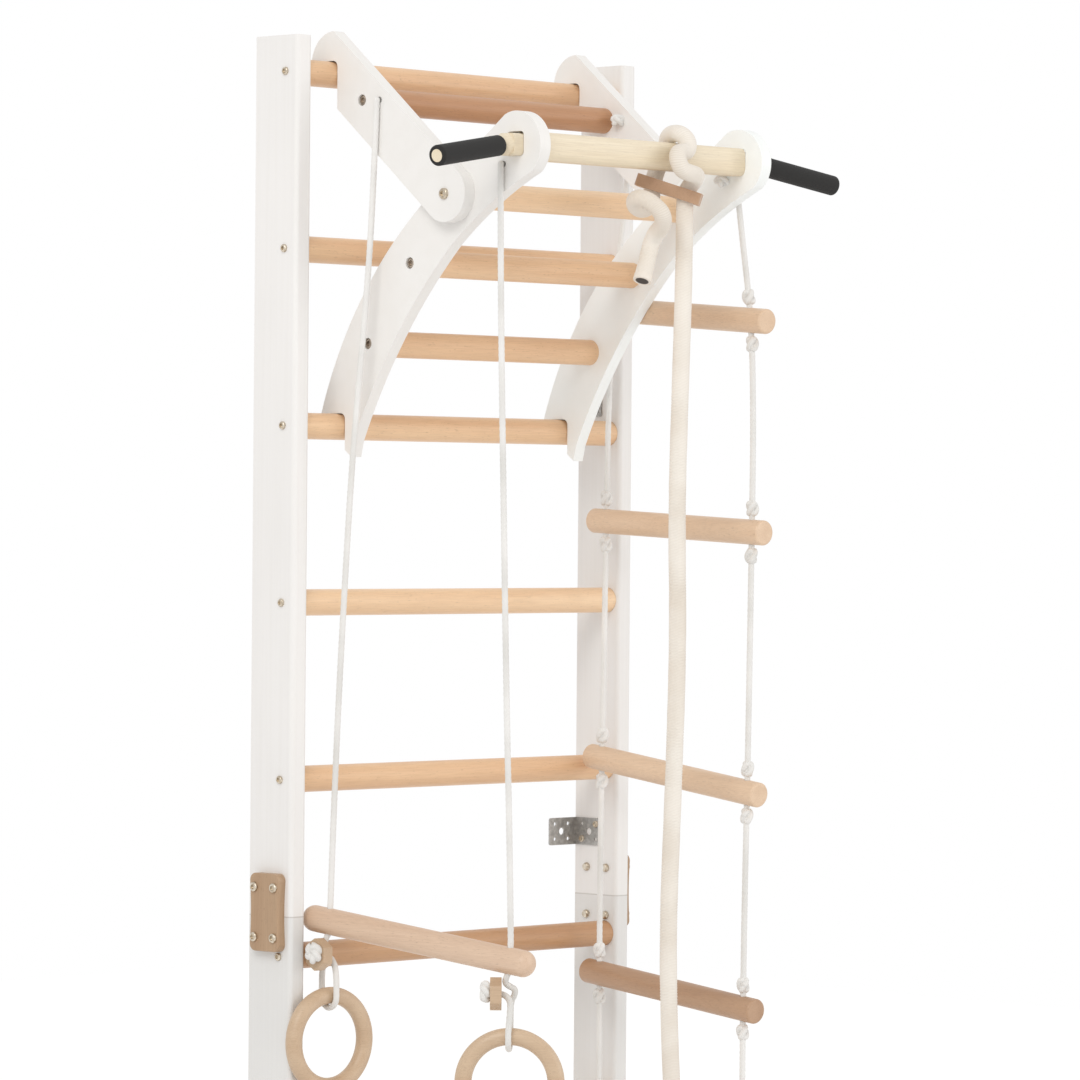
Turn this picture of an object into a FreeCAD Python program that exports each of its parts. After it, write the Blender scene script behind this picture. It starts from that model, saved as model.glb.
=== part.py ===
import FreeCAD, Part
import math
import os

Vector = FreeCAD.Vector

# Wall bars: two posts in two halves each, with ten round rungs between them
overall_width = 620.0
post_height = 2190.0
post_depth = 74.0
post_thickness = 26.0
post_front_radius = 6.0
post_seam_share = 0.5
rung_count = 10
rung_diameter = 33.0
rung_from_wall = 53.0
top_rung_below_post_top = 45.0
bottom_rung_height = 165.0
rung_end_radius = 1.0
socket_depth = 12.0

# Clearances
fit_clearance = 0.1
hook_clearance = 0.3
cut_overrun = 5.0

# Screws that hold the rungs
rung_screw_head_diameter = 10.0
rung_screw_head_height = 3.2
rung_screw_shank_diameter = 6.0
rung_screw_depth_in_rung = 28.0
key_socket_share = 0.5
key_depth_share = 0.6
dome_share = 0.6

# Plates that join the halves of each post
joint_plate_depth = 53.5
joint_plate_height = 97.0
joint_plate_thickness = 12.0
joint_plate_from_wall = 38.5
joint_plate_above_seam = 5.0
joint_plate_hollow = 2.5
joint_plate_corner_radius = 9.0
joint_plate_edge_radius = 1.5
plate_bolt_pitch_out = 34.5
plate_bolt_pitch_up = 62.3
plate_bolt_head_diameter = 12.0
plate_bolt_head_height = 3.5
plate_bolt_shank_diameter = 6.0
plate_nut_diameter = 11.0
plate_nut_height = 5.0

# Wall brackets: steel angle, three pairs, inside the posts
bracket_sheet = 2.0
bracket_wall_leg = 52.0
bracket_post_leg = 42.0
bracket_height = 36.0
bracket_corner_radius = 3.0
wall_hole_diameter = 9.5
wall_hole_from_post = 29.0
post_hole_from_wall = 25.6
small_hole_diameter = 5.0
small_hole_pitch_up = 20.0
small_hole_pitch_along = 25.0
middle_bracket_rung = 6
middle_bracket_above_rung = 133.0
top_bracket_rung = 3
top_bracket_above_rung = 40.0
bottom_bracket_below_rung = 75.0
bracket_screw_head_diameter = 9.0
bracket_screw_head_height = 2.2
bracket_screw_shank_diameter = 4.5
bracket_screw_length = 18.0

# Hook-on frame for the pull-up bar: boards, hooks and crossbars
frame_width = 460.0
frame_off_centre = -7.5
board_thickness = 18.0
lower_hook_rung = 3
crossbar_diameter = 33.0
joint_from_wall = 259.5
joint_below_top_rung = 156.0
slot_corner_radius = 8.0
slot_side_clearance = 0.9

# Upper arm: a straight board with a round end at the joint and a head over the top rung
upper_arm_width = 70.0
upper_arm_axis_above_rung = 12.8
upper_finger_thickness = 11.6
upper_finger_below_rung_axis = 9.0
upper_finger_face_above_rung_axis = 13.0
upper_head_back = 40.5
upper_head_above_axis = 8.0
upper_head_start_back = 27.0
upper_crossbar_along = 69.4

# Lower arm: a curved board from the hook to the head that holds the pull-up bar
bar_from_wall = 362.0
bar_below_top_rung = 98.0
lower_head_radius = 42.0
lower_finger_thickness = 7.7
lower_finger_below_rung_axis = 4.0
lower_rear_face_above_rung_axis = 17.0
lower_tip_inner_drop = 29.0
lower_tip_drop = 38.0
lower_tip_thickness = 11.5
lower_tip_top_drop = 17.0
lower_tip_top_thickness = 16.5
rear_edge_middle_shares = (0.142, 0.462)
rear_edge_end_shares = (0.482, 0.798)
head_rear_shares = (0.943, 1.107)
front_edge_middle_shares = (0.356, 0.339)
front_edge_end_shares = (0.654, 0.651)
neck_middle_shares = (0.867, 0.792)
head_front_shares = (1.091, 0.899)
middle_crossbar_shares = (0.419, 0.590)
lower_crossbar_shares = (0.1825, 0.302)

# Screws and bolts of the hook-on frame
arm_bolt_head_diameter = 14.0
arm_bolt_head_height = 4.0
arm_bolt_shank_diameter = 8.0
arm_bolt_depth_in_bar = 40.0
arm_screw_head_diameter = 14.0
arm_screw_head_height = 5.0
arm_screw_recess = 6.5
arm_screw_shank_diameter = 7.0
arm_screw_depth_in_bar = 45.0

# Pull-up bar
bar_height = 35.0
bar_depth = 28.0
bar_edge_radius = 8.0
neck_width = 27.0
neck_edge_radius = 5.0
neck_reach = 227.5
bar_slot_depth = 28.0
bar_slot_height = 30.0
bar_slot_radius = 5.0
grip_core_diameter = 15.5
grip_diameter = 25.5
grip_reach = 364.0
grip_forward = 16.5
grip_drop = 22.0
grip_end_radius = 3.0
grip_start = 15.0

# Ropes: their holes in the arms, their knots and the stub that fills each hole
thin_rope_diameter = 7.8
rope_hole_diameter = 8.4
rear_hole_along = 93.7
rear_hole_above_axis = 18.6
front_hole_shares = (0.935, 0.930)
arm_knot_diameter = 15.0
arm_knot_length = 13.0
knot_round_share = 0.3

# Climbing rope, its stop plate and taped ends
climbing_rope_diameter = 22.0
stop_plate_length = 84.5
stop_plate_width = 36.0
stop_plate_thickness = 15.0
stop_plate_corner_radius = 5.0
stop_plate_from_left_post = 372.0
stop_plate_from_wall = 359.0
stop_plate_below_bar = 42.0
stop_plate_turn_deg = -52.0
stop_plate_tilt_deg = 18.0
tape_thickness = 0.6
tail_tape_length = 8.0
rope_end_length = 45.0

# Trapeze and rings
trapeze_bar_diameter = 33.0
trapeze_bar_end_radius = 15.0
trapeze_rear_from_left_post = 52.3
trapeze_rear_from_wall = 90.7
trapeze_rear_height = 1088.5
trapeze_front_from_left_post = 88.0
trapeze_front_from_wall = 367.9
trapeze_front_height = 1055.0
trapeze_rear_overhang = 39.0
trapeze_front_overhang = 34.0
slider_height = 41.0
slider_thickness = 14.0
slider_edge_radius = 2.5
slider_beside_loop = 17.5
slider_below_bar = 40.0
slider_knot_diameter = 22.0
slider_knot_height = 7.0
loop_top_below_bar = 43.0
loop_top_radius = 8.5
loop_clearance = 0.5
loop_branch_slimmer = 0.4
ring_tube_diameter = 21.0
ring_outer_diameter = 134.0
ring_below_bar = 91.8
rear_ring_turn_deg = -5.0
front_ring_turn_deg = -46.5

# Rope ladder
ladder_rung_count = 6
ladder_rung_diameter = 32.0
ladder_rung_length = 316.0
ladder_rung_end_radius = 3.0
ladder_rope_clearance = 0.25
ladder_knot_clearance = 1.3
ladder_knot_diameter = 16.0
ladder_knot_length = 24.0
ladder_knot_turn_deg = 45.0

# Where the ropes' routes start and end. Each route is written out for the sizes above, and both
# its ends are shifted to their places if a size changes
rope_beside_board = 0.3
drawn_plate_centre = Vector(62.0, -359.0, 827.0)
drawn_trapeze_rear = Vector(-257.7, -90.7, -89.5)
drawn_trapeze_front = Vector(-222.0, -367.9, -123.0)
climbing_rope_end_height = 136.0
ladder_rear_end_height = 372.0
ladder_front_end_height = 344.0

# Routes of the ropes: the trapeze's two ropes hang nearly straight under its weight
trapeze_rear_route = [
    Vector(-241.7, -145.0, 931.0),
    Vector(-243.0, -141.5, 817.0),
    Vector(-246.0, -134.0, 682.0),
    Vector(-248.5, -116.0, 512.0),
    Vector(-251.5, -106.0, 342.0),
    Vector(-255.0, -95.0, 112.0),
    Vector(-257.7, -90.9, -68.4),
]
trapeze_front_route = [
    Vector(-223.7, -341.9, 845.1),
    Vector(-223.9, -343.0, 740.0),
    Vector(-223.5, -346.0, 600.0),
    Vector(-223.1, -352.0, 400.0),
    Vector(-222.8, -358.5, 185.0),
    Vector(-222.2, -365.5, 10.0),
    Vector(-222.0, -368.1, -101.3),
]

# The ladder's ropes: every second point from the third is where a rung is threaded on
ladder_rear_route = [
    Vector(226.7, -145.0, 931.0),
    Vector(227.0, -131.0, 812.0),
    Vector(226.6, -112.0, 687.0),
    Vector(227.0, -106.0, 545.0),
    Vector(226.7, -103.5, 411.0),
    Vector(226.9, -102.5, 262.0),
    Vector(226.7, -100.0, 101.0),
    Vector(226.4, -98.6, -38.0),
    Vector(226.7, -98.5, -180.0),
    Vector(226.9, -99.2, -328.0),
    Vector(226.7, -99.0, -479.0),
    Vector(226.5, -98.2, -618.0),
    Vector(226.7, -98.5, -754.0),
    Vector(226.9, -98.6, -806.0),
]
ladder_front_route = [
    Vector(208.7, -341.9, 845.1),
    Vector(208.5, -354.0, 765.0),
    Vector(208.9, -369.5, 668.0),
    Vector(208.6, -374.5, 540.0),
    Vector(208.8, -373.0, 399.0),
    Vector(208.5, -371.5, 232.0),
    Vector(208.7, -369.0, 68.0),
    Vector(208.4, -366.5, -69.0),
    Vector(208.7, -365.0, -207.0),
    Vector(208.9, -364.8, -348.0),
    Vector(208.7, -364.0, -508.0),
    Vector(208.5, -363.4, -646.0),
    Vector(208.7, -364.0, -782.0),
    Vector(208.9, -364.1, -834.0),
]

# The climbing rope hangs in slow waves below the stop plate
climbing_rope_route = [
    Vector(74.3, -374.8, 800.8),
    Vector(74.6, -374.4, 722.0),
    Vector(69.0, -375.2, 592.0),
    Vector(64.0, -374.6, 424.0),
    Vector(69.0, -375.0, 262.0),
    Vector(62.0, -374.6, 62.0),
    Vector(54.0, -375.1, -88.0),
    Vector(58.0, -374.7, -218.0),
    Vector(68.0, -375.0, -348.0),
    Vector(66.0, -374.6, -538.0),
    Vector(60.0, -375.0, -738.0),
    Vector(63.0, -374.7, -898.0),
    Vector(62.6, -374.8, -1042.0),
]

# The hitch: up through the stop plate, over the pull-up bar, down again, and a folded tail
hitch_route = [
    Vector(74.3, -374.8, 812.1),
    Vector(75.0, -376.5, 825.0),
    Vector(77.5, -384.5, 835.5),
    Vector(75.0, -393.0, 841.5),
    Vector(67.0, -400.0, 844.5),
    Vector(48.0, -404.0, 846.0),
    Vector(38.0, -403.5, 849.0),
    Vector(32.5, -402.0, 857.0),
    Vector(33.5, -398.5, 866.5),
    Vector(41.0, -395.0, 872.5),
    Vector(55.5, -391.5, 872.0),
    Vector(64.0, -391.3, 873.0),
    Vector(72.0, -390.6, 877.6),
    Vector(75.5, -389.3, 886.5),
    Vector(72.5, -386.0, 896.0),
    Vector(65.5, -376.0, 901.0),
    Vector(61.5, -364.0, 901.5),
    Vector(62.0, -351.0, 900.0),
    Vector(65.5, -342.0, 896.0),
    Vector(69.5, -336.0, 887.5),
    Vector(71.5, -336.4, 872.5),
    Vector(66.5, -336.4, 859.0),
    Vector(52.5, -339.5, 834.5),
    Vector(48.0, -342.5, 812.0),
    Vector(41.0, -342.0, 802.5),
    Vector(29.0, -342.0, 798.0),
    Vector(16.5, -345.0, 800.0),
    Vector(6.0, -354.0, 806.5),
    Vector(3.5, -367.0, 811.5),
    Vector(6.5, -379.0, 812.0),
    Vector(14.5, -389.0, 808.5),
    Vector(27.0, -393.0, 801.0),
    Vector(37.5, -389.5, 792.5),
    Vector(44.0, -381.0, 784.0),
    Vector(43.5, -368.0, 775.0),
    Vector(36.0, -359.0, 763.0),
    Vector(28.5, -357.5, 748.5),
    Vector(14.0, -361.0, 718.0),
]

# Values worked out from the sizes above
top_rung_height = post_height - top_rung_below_post_top
rung_spacing = (top_rung_height - bottom_rung_height) / (rung_count - 1)
rung_radius = rung_diameter / 2
half_width = overall_width / 2
inner_face = half_width - post_thickness
seam_height = post_height * post_seam_share


def rung_height(number):
    """Height of a rung's axis above the floor, counted from the top rung."""
    return top_rung_height - (number - 1) * rung_spacing


fixing_height = rung_height(middle_bracket_rung) + middle_bracket_above_rung
bracket_heights = {
    "top": rung_height(top_bracket_rung) + top_bracket_above_rung,
    "middle": fixing_height,
    "bottom": rung_height(rung_count) - bottom_bracket_below_rung,
}
outer_board_face = frame_width / 2
seam_board_face = outer_board_face - board_thickness
inner_board_face = seam_board_face - board_thickness
lower_reach = bar_from_wall - rung_from_wall
lower_rise = rung_height(1) - bar_below_top_rung - rung_height(lower_hook_rung)
bar_slot_centre_height = rung_height(1) - bar_below_top_rung
neck_height_above_floor = bar_slot_centre_height - (bar_slot_height - neck_width) / 2 + fit_clearance
plate_bolt_places = [
    (joint_plate_from_wall + out * plate_bolt_pitch_out / 2,
     seam_height + joint_plate_above_seam + up * plate_bolt_pitch_up / 2)
    for out in (-1, 1) for up in (-1, 1)
]


def place(across, out, height):
    """A point from its distance right of centre, out from the wall and above the floor."""
    return Vector(across, -out, height - fixing_height)


def side_point(out, height):
    """A point of an outline seen from the side."""
    return place(0, out, height)


def rod(start, end, diameter):
    """A round bar from one point to another."""
    run = end - start
    return Part.makeCylinder(diameter / 2, run.Length, start, run)


def rounded_rod(start, end, diameter, end_radius):
    """A round bar with its two end edges rounded."""
    bar = rod(start, end, diameter)
    ends = [edge for edge in bar.Edges if edge.Closed]
    return bar.makeFillet(end_radius, ends)


def block(low, high):
    """A box between two opposite corners, given in any order."""
    corner = Vector(min(low.x, high.x), min(low.y, high.y), min(low.z, high.z))
    size = high - low
    return Part.makeBox(abs(size.x), abs(size.y), abs(size.z), corner)


def edges_along(shape, direction):
    """The straight edges of a shape that run along a direction."""
    found = []
    for edge in shape.Edges:
        if len(edge.Vertexes) < 2:
            continue
        run = edge.Vertexes[-1].Point - edge.Vertexes[0].Point
        if abs(run.Length - edge.Length) > fit_clearance:
            continue
        if run.cross(direction).Length < fit_clearance:
            found.append(edge)
    return found


def group(shapes):
    """Several separate solids kept in one sub-part."""
    return Part.makeCompound(shapes)


def mirrored(shape):
    """The same shape on the other side of the middle plane."""
    return shape.mirror(Vector(0, 0, 0), Vector(1, 0, 0))


def tangent_path(points, radii):
    """Straight runs along the points, joined by one tangent arc at each inner point."""
    edges = []
    run_start = points[0]
    for before, corner, after, radius in zip(points, points[1:], points[2:], radii):
        arriving = (corner - before).normalize()
        leaving = (after - corner).normalize()
        half_turn = arriving.getAngle(leaving) / 2
        setback = radius * math.tan(half_turn)
        arc_start = corner - arriving * setback
        arc_end = corner + leaving * setback
        inward = (leaving - arriving).normalize()
        arc_middle = corner + inward * (radius / math.cos(half_turn) - radius)
        edges.append(Part.LineSegment(run_start, arc_start).toShape())
        edges.append(Part.Arc(arc_start, arc_middle, arc_end).toShape())
        run_start = arc_end
    edges.append(Part.LineSegment(run_start, points[-1]).toShape())
    return edges


def cord_radii(points):
    """The largest arcs that a cord's runs leave room for."""
    arc_share = 0.45
    radii = []
    for before, corner, after in zip(points, points[1:], points[2:]):
        arriving = corner - before
        leaving = after - corner
        half_turn = arriving.getAngle(leaving) / 2
        shorter = min(arriving.Length, leaving.Length)
        radii.append(arc_share * shorter / math.tan(half_turn))
    return radii


def cord(points, diameter):
    """A round cord along its route."""
    path = Part.Wire(tangent_path(points, cord_radii(points)))
    section = Part.Wire(Part.makeCircle(diameter / 2, points[0], points[1] - points[0]))
    return path.makePipeShell([section], True, False)


def checked_cord(name, points, diameter):
    """A cord, with its radii and its volume against section times length printed."""
    radii = cord_radii(points)
    path = Part.Wire(tangent_path(points, radii))
    tube = cord(points, diameter)
    expected = math.pi * diameter ** 2 / 4 * path.Length
    print(name, "length", round(path.Length, 1), "tightest radius", round(min(radii), 1),
          "radii", [round(radius) for radius in radii], "volume ratio", round(tube.Volume / expected, 4))
    return tube


def outer_rim(head, seat):
    """The round edge of a head that lies away from its seat."""
    return [edge for edge in head.Edges if edge.Closed and (edge.CenterOfMass - seat).Length > fit_clearance]


def domed_screw(seat, direction, head_diameter, head_height, shank_diameter, shank_length):
    """A screw with a domed head on its seat, a key socket, and its shank going into the work."""
    out = Vector(direction).normalize()
    head = rod(seat, seat + out * head_height, head_diameter)
    rim = outer_rim(head, seat)
    head = head.makeFillet(head_height * dome_share, rim)
    shank = rod(seat, seat - out * shank_length, shank_diameter)
    key_depth = head_height * key_depth_share
    key_bottom = seat + out * (head_height - key_depth)
    key = rod(key_bottom, key_bottom + out * head_height, head_diameter * key_socket_share)
    return head.fuse(shank).cut(key)


# Posts

def post_profile():
    """The section of the right post: square at the wall, rounded at the front."""
    corners = [
        place(inner_face, 0, fixing_height),
        place(inner_face, post_depth, fixing_height),
        place(half_width, post_depth, fixing_height),
        place(half_width, 0, fixing_height),
    ]
    open_side = tangent_path(corners, [post_front_radius, post_front_radius])
    back = Part.LineSegment(corners[-1], corners[0]).toShape()
    return Part.Face(Part.Wire(open_side + [back]))


def post_half(low, high):
    """One half of the right post, with the sockets and holes that fall in it."""
    body = post_profile().extrude(Vector(0, 0, high - low))
    body.translate(Vector(0, 0, low - fixing_height))
    for number in range(1, rung_count + 1):
        height = rung_height(number)
        if not low < height < high:
            continue
        mouth = place(inner_face - cut_overrun, rung_from_wall, height)
        socket_bottom = place(inner_face + socket_depth, rung_from_wall, height)
        body = body.cut(rod(mouth, socket_bottom, rung_diameter + 2 * fit_clearance))
        outside = place(half_width + cut_overrun, rung_from_wall, height)
        body = body.cut(rod(mouth, outside, rung_screw_shank_diameter + 2 * fit_clearance))
    for out, height in plate_bolt_places:
        start = place(inner_face - cut_overrun, out, height)
        end = place(half_width + cut_overrun, out, height)
        body = body.cut(rod(start, end, plate_bolt_shank_diameter + 2 * fit_clearance))
    for bracket in bracket_heights.values():
        for out, height in bracket_screw_places(bracket):
            start = place(inner_face - cut_overrun, out, height)
            end = place(inner_face + bracket_screw_length, out, height)
            body = body.cut(rod(start, end, bracket_screw_shank_diameter + 2 * fit_clearance))
    return body


def wall_rung(number):
    """A round rung whose ends sit in the sockets and take a screw each."""
    end = inner_face + socket_depth - fit_clearance
    height = rung_height(number)
    bar = rounded_rod(place(-end, rung_from_wall, height), place(end, rung_from_wall, height),
                      rung_diameter, rung_end_radius)
    bore = rung_screw_shank_diameter + 2 * fit_clearance
    bore_end = end - rung_screw_depth_in_rung - fit_clearance
    for side in (-1, 1):
        start = place(side * (end + cut_overrun), rung_from_wall, height)
        bar = bar.cut(rod(start, place(side * bore_end, rung_from_wall, height), bore))
    return bar


def rung_screws():
    """One screw at each end of each rung, from the outer face of the post."""
    screws = []
    shank = half_width - inner_face - socket_depth + fit_clearance + rung_screw_depth_in_rung
    for number in range(1, rung_count + 1):
        for side in (-1, 1):
            seat = place(side * half_width, rung_from_wall, rung_height(number))
            screws.append(domed_screw(seat, Vector(side, 0, 0), rung_screw_head_diameter,
                                      rung_screw_head_height, rung_screw_shank_diameter, shank))
    return group(screws)


def joint_plate():
    """The right plate: upright, with slightly hollow long sides and rounded corners."""
    low = seam_height + joint_plate_above_seam - joint_plate_height / 2
    high = low + joint_plate_height
    middle = (low + high) / 2
    rear = joint_plate_from_wall - joint_plate_depth / 2
    front = rear + joint_plate_depth
    sides = [
        Part.LineSegment(side_point(rear, high), side_point(front, high)).toShape(),
        Part.Arc(side_point(front, high), side_point(front - joint_plate_hollow, middle),
                 side_point(front, low)).toShape(),
        Part.LineSegment(side_point(front, low), side_point(rear, low)).toShape(),
        Part.Arc(side_point(rear, low), side_point(rear + joint_plate_hollow, middle),
                 side_point(rear, high)).toShape(),
    ]
    plate = Part.Face(Part.Wire(sides)).extrude(Vector(joint_plate_thickness, 0, 0))
    plate = plate.makeFillet(joint_plate_corner_radius, edges_along(plate, Vector(1, 0, 0)))
    outer = [edge for edge in plate.Edges if abs(edge.BoundBox.XMin - joint_plate_thickness) < fit_clearance]
    plate = plate.makeFillet(joint_plate_edge_radius, outer)
    plate.translate(Vector(half_width, 0, 0))
    for out, height in plate_bolt_places:
        hole = rod(place(half_width - cut_overrun, out, height),
                   place(half_width + joint_plate_thickness + cut_overrun, out, height),
                   plate_bolt_shank_diameter + 2 * fit_clearance)
        plate = plate.cut(hole)
    return plate


def joint_plate_bolts():
    """Four bolts through each plate and post."""
    bolts = []
    shank = joint_plate_thickness + post_thickness + plate_nut_height / 2
    for side in (-1, 1):
        for out, height in plate_bolt_places:
            seat = place(side * (half_width + joint_plate_thickness), out, height)
            bolts.append(domed_screw(seat, Vector(side, 0, 0), plate_bolt_head_diameter,
                                     plate_bolt_head_height, plate_bolt_shank_diameter, shank))
    return group(bolts)


def joint_plate_nuts():
    """A domed nut on each bolt, at the inner face of the post."""
    nuts = []
    for side in (-1, 1):
        for out, height in plate_bolt_places:
            seat = place(side * inner_face, out, height)
            tip = place(side * (inner_face - plate_nut_height), out, height)
            nut = rod(seat, tip, plate_nut_diameter)
            nut = nut.makeFillet(plate_nut_height * dome_share, outer_rim(nut, seat))
            bore_end = place(side * (inner_face - plate_nut_height / 2 - fit_clearance), out, height)
            nuts.append(nut.cut(rod(seat, bore_end, plate_bolt_shank_diameter + 2 * fit_clearance)))
    return group(nuts)


# Wall brackets

def bracket_screw_places(height):
    """The two small holes of a bracket's post leg that hold screws, on a diagonal."""
    half_along = small_hole_pitch_along / 2
    half_up = small_hole_pitch_up / 2
    return [
        (post_hole_from_wall - half_along, height - half_up),
        (post_hole_from_wall + half_along, height + half_up),
    ]


def wall_bracket(height):
    """The right bracket of a pair: a steel angle with one large and four small holes in each leg."""
    low = height - bracket_height / 2
    high = height + bracket_height / 2
    wall_leg = block(place(inner_face, 0, low), place(inner_face - bracket_wall_leg, bracket_sheet, high))
    post_leg = block(place(inner_face, 0, low), place(inner_face - bracket_sheet, bracket_post_leg, high))
    corners = edges_along(wall_leg, Vector(0, 1, 0))
    free_corners = [edge for edge in corners if edge.CenterOfMass.x < inner_face - bracket_sheet]
    wall_leg = wall_leg.makeFillet(bracket_corner_radius, free_corners)
    corners = edges_along(post_leg, Vector(1, 0, 0))
    free_corners = [edge for edge in corners if edge.CenterOfMass.y < -bracket_sheet]
    post_leg = post_leg.makeFillet(bracket_corner_radius, free_corners)
    angle = wall_leg.fuse(post_leg).removeSplitter()
    hole_places = [(0, 0, wall_hole_diameter)]
    for along in (-1, 1):
        for up in (-1, 1):
            hole_places.append((along * small_hole_pitch_along / 2, up * small_hole_pitch_up / 2,
                                small_hole_diameter))
    for along, up, diameter in hole_places:
        across = inner_face - wall_hole_from_post + along
        behind = place(across, -cut_overrun, height + up)
        angle = angle.cut(rod(behind, place(across, cut_overrun, height + up), diameter))
        out = post_hole_from_wall + along
        inside = place(inner_face - cut_overrun, out, height + up)
        angle = angle.cut(rod(inside, place(inner_face + cut_overrun, out, height + up), diameter))
    return angle


def bracket_screws():
    """Two screws through the post leg of each bracket."""
    screws = []
    for bracket in bracket_heights.values():
        for side in (-1, 1):
            for out, height in bracket_screw_places(bracket):
                seat = place(side * (inner_face - bracket_sheet), out, height)
                screws.append(domed_screw(seat, Vector(-side, 0, 0), bracket_screw_head_diameter,
                                          bracket_screw_head_height, bracket_screw_shank_diameter,
                                          bracket_screw_length))
    return group(screws)


# Hook-on frame

def rung_slot(number, floor_drop):
    """The space that a hook leaves round a rung, open downwards, for cutting."""
    half = rung_radius + slot_side_clearance
    top = rung_height(number) + rung_radius + hook_clearance
    bottom = rung_height(number) - floor_drop
    corners = [
        side_point(rung_from_wall - half, bottom),
        side_point(rung_from_wall - half, top),
        side_point(rung_from_wall + half, top),
        side_point(rung_from_wall + half, bottom),
    ]
    upper = tangent_path(corners, [slot_corner_radius, slot_corner_radius])
    lower = Part.LineSegment(corners[-1], corners[0]).toShape()
    slot = Part.Face(Part.Wire(upper + [lower])).extrude(Vector(board_thickness + 2 * cut_overrun, 0, 0))
    slot.translate(Vector(-cut_overrun, 0, 0))
    return slot


def board_hole(out, height, diameter):
    """A round hole through a board, for cutting."""
    start = side_point(out, height) - Vector(cut_overrun, 0, 0)
    return rod(start, start + Vector(board_thickness + 2 * cut_overrun, 0, 0), diameter)


def recess(out, height, outer_side):
    """The recess for a screw head in a board's outer face, for cutting."""
    outer = board_thickness if outer_side > 0 else 0
    start = side_point(out, height) + Vector(outer - outer_side * arm_screw_recess, 0, 0)
    return rod(start, start + Vector(outer_side * (arm_screw_recess + cut_overrun), 0, 0),
               arm_screw_head_diameter + 2 * fit_clearance)


def upper_arm_frame():
    """The upper arm's axis: its foot beside the top rung, its direction, its upward side and its length."""
    rung = side_point(rung_from_wall, rung_height(1))
    joint = side_point(joint_from_wall, rung_height(1) - joint_below_top_rung)
    chord = joint - rung
    lean = math.asin(upper_arm_axis_above_rung / chord.Length)
    angle = math.atan2(chord.z, -chord.y) - lean
    along = Vector(0, -math.cos(angle), math.sin(angle))
    upward = Vector(0, math.sin(angle), math.cos(angle))
    foot = rung + upward * upper_arm_axis_above_rung
    return foot, along, upward, (joint - foot).Length


def rear_rope_hole():
    """The place of the rear rope's hole in an upper arm: distance from the wall and height."""
    foot, along, upward, length = upper_arm_frame()
    hole = foot + along * rear_hole_along + upward * rear_hole_above_axis
    return -hole.y, hole.z + fixing_height


def front_rope_hole():
    """The place of the front rope's hole in a lower arm: distance from the wall and height."""
    return lower_arm_place(front_hole_shares)


def upper_crossbar_place():
    """The axis of the crossbar between the upper arms."""
    foot, along, upward, length = upper_arm_frame()
    centre = foot + along * upper_crossbar_along
    return -centre.y, centre.z + fixing_height


def upper_arm(outer_side):
    """An upper arm, lying with its left face at the middle plane."""
    foot, along, upward, length = upper_arm_frame()
    half = upper_arm_width / 2
    slot_half = rung_radius + slot_side_clearance
    rung_z = rung_height(1)
    finger_back = rung_from_wall - slot_half - upper_finger_thickness
    finger_tip = rung_z - upper_finger_below_rung_axis
    joint = foot + along * length
    slot_front = side_point(rung_from_wall + slot_half, rung_z)
    drop = ((slot_front - foot).dot(upward) + half) / upward.z
    heel = slot_front - Vector(0, 0, drop)
    head_top = foot - along * upper_head_start_back + upward * half
    head_back = foot - along * upper_head_back + upward * upper_head_above_axis
    finger_top = side_point(finger_back, rung_z + upper_finger_face_above_rung_axis)
    edges = [
        Part.LineSegment(heel, joint - upward * half).toShape(),
        Part.Arc(joint - upward * half, joint + along * half, joint + upward * half).toShape(),
        Part.LineSegment(joint + upward * half, head_top).toShape(),
        Part.Arc(head_top, head_back, finger_top).toShape(),
        Part.LineSegment(finger_top, side_point(finger_back, finger_tip)).toShape(),
        Part.LineSegment(side_point(finger_back, finger_tip),
                         side_point(rung_from_wall + slot_half, finger_tip)).toShape(),
        Part.LineSegment(side_point(rung_from_wall + slot_half, finger_tip), heel).toShape(),
    ]
    board = Part.Face(Part.Wire(edges)).extrude(Vector(board_thickness, 0, 0))
    board = board.cut(rung_slot(1, upper_arm_width))
    board = board.cut(board_hole(joint_from_wall, rung_z - joint_below_top_rung,
                                 arm_bolt_shank_diameter + 2 * fit_clearance))
    crossbar = upper_crossbar_place()
    board = board.cut(board_hole(*crossbar, arm_screw_shank_diameter + 2 * fit_clearance))
    board = board.cut(recess(*crossbar, outer_side))
    return board.cut(board_hole(*rear_rope_hole(), rope_hole_diameter))


def lower_arm_place(shares):
    """A place on the lower arm, as shares of its reach and rise from the hooked rung."""
    reach_share, rise_share = shares
    return (rung_from_wall + reach_share * lower_reach,
            rung_height(lower_hook_rung) + rise_share * lower_rise)


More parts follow.
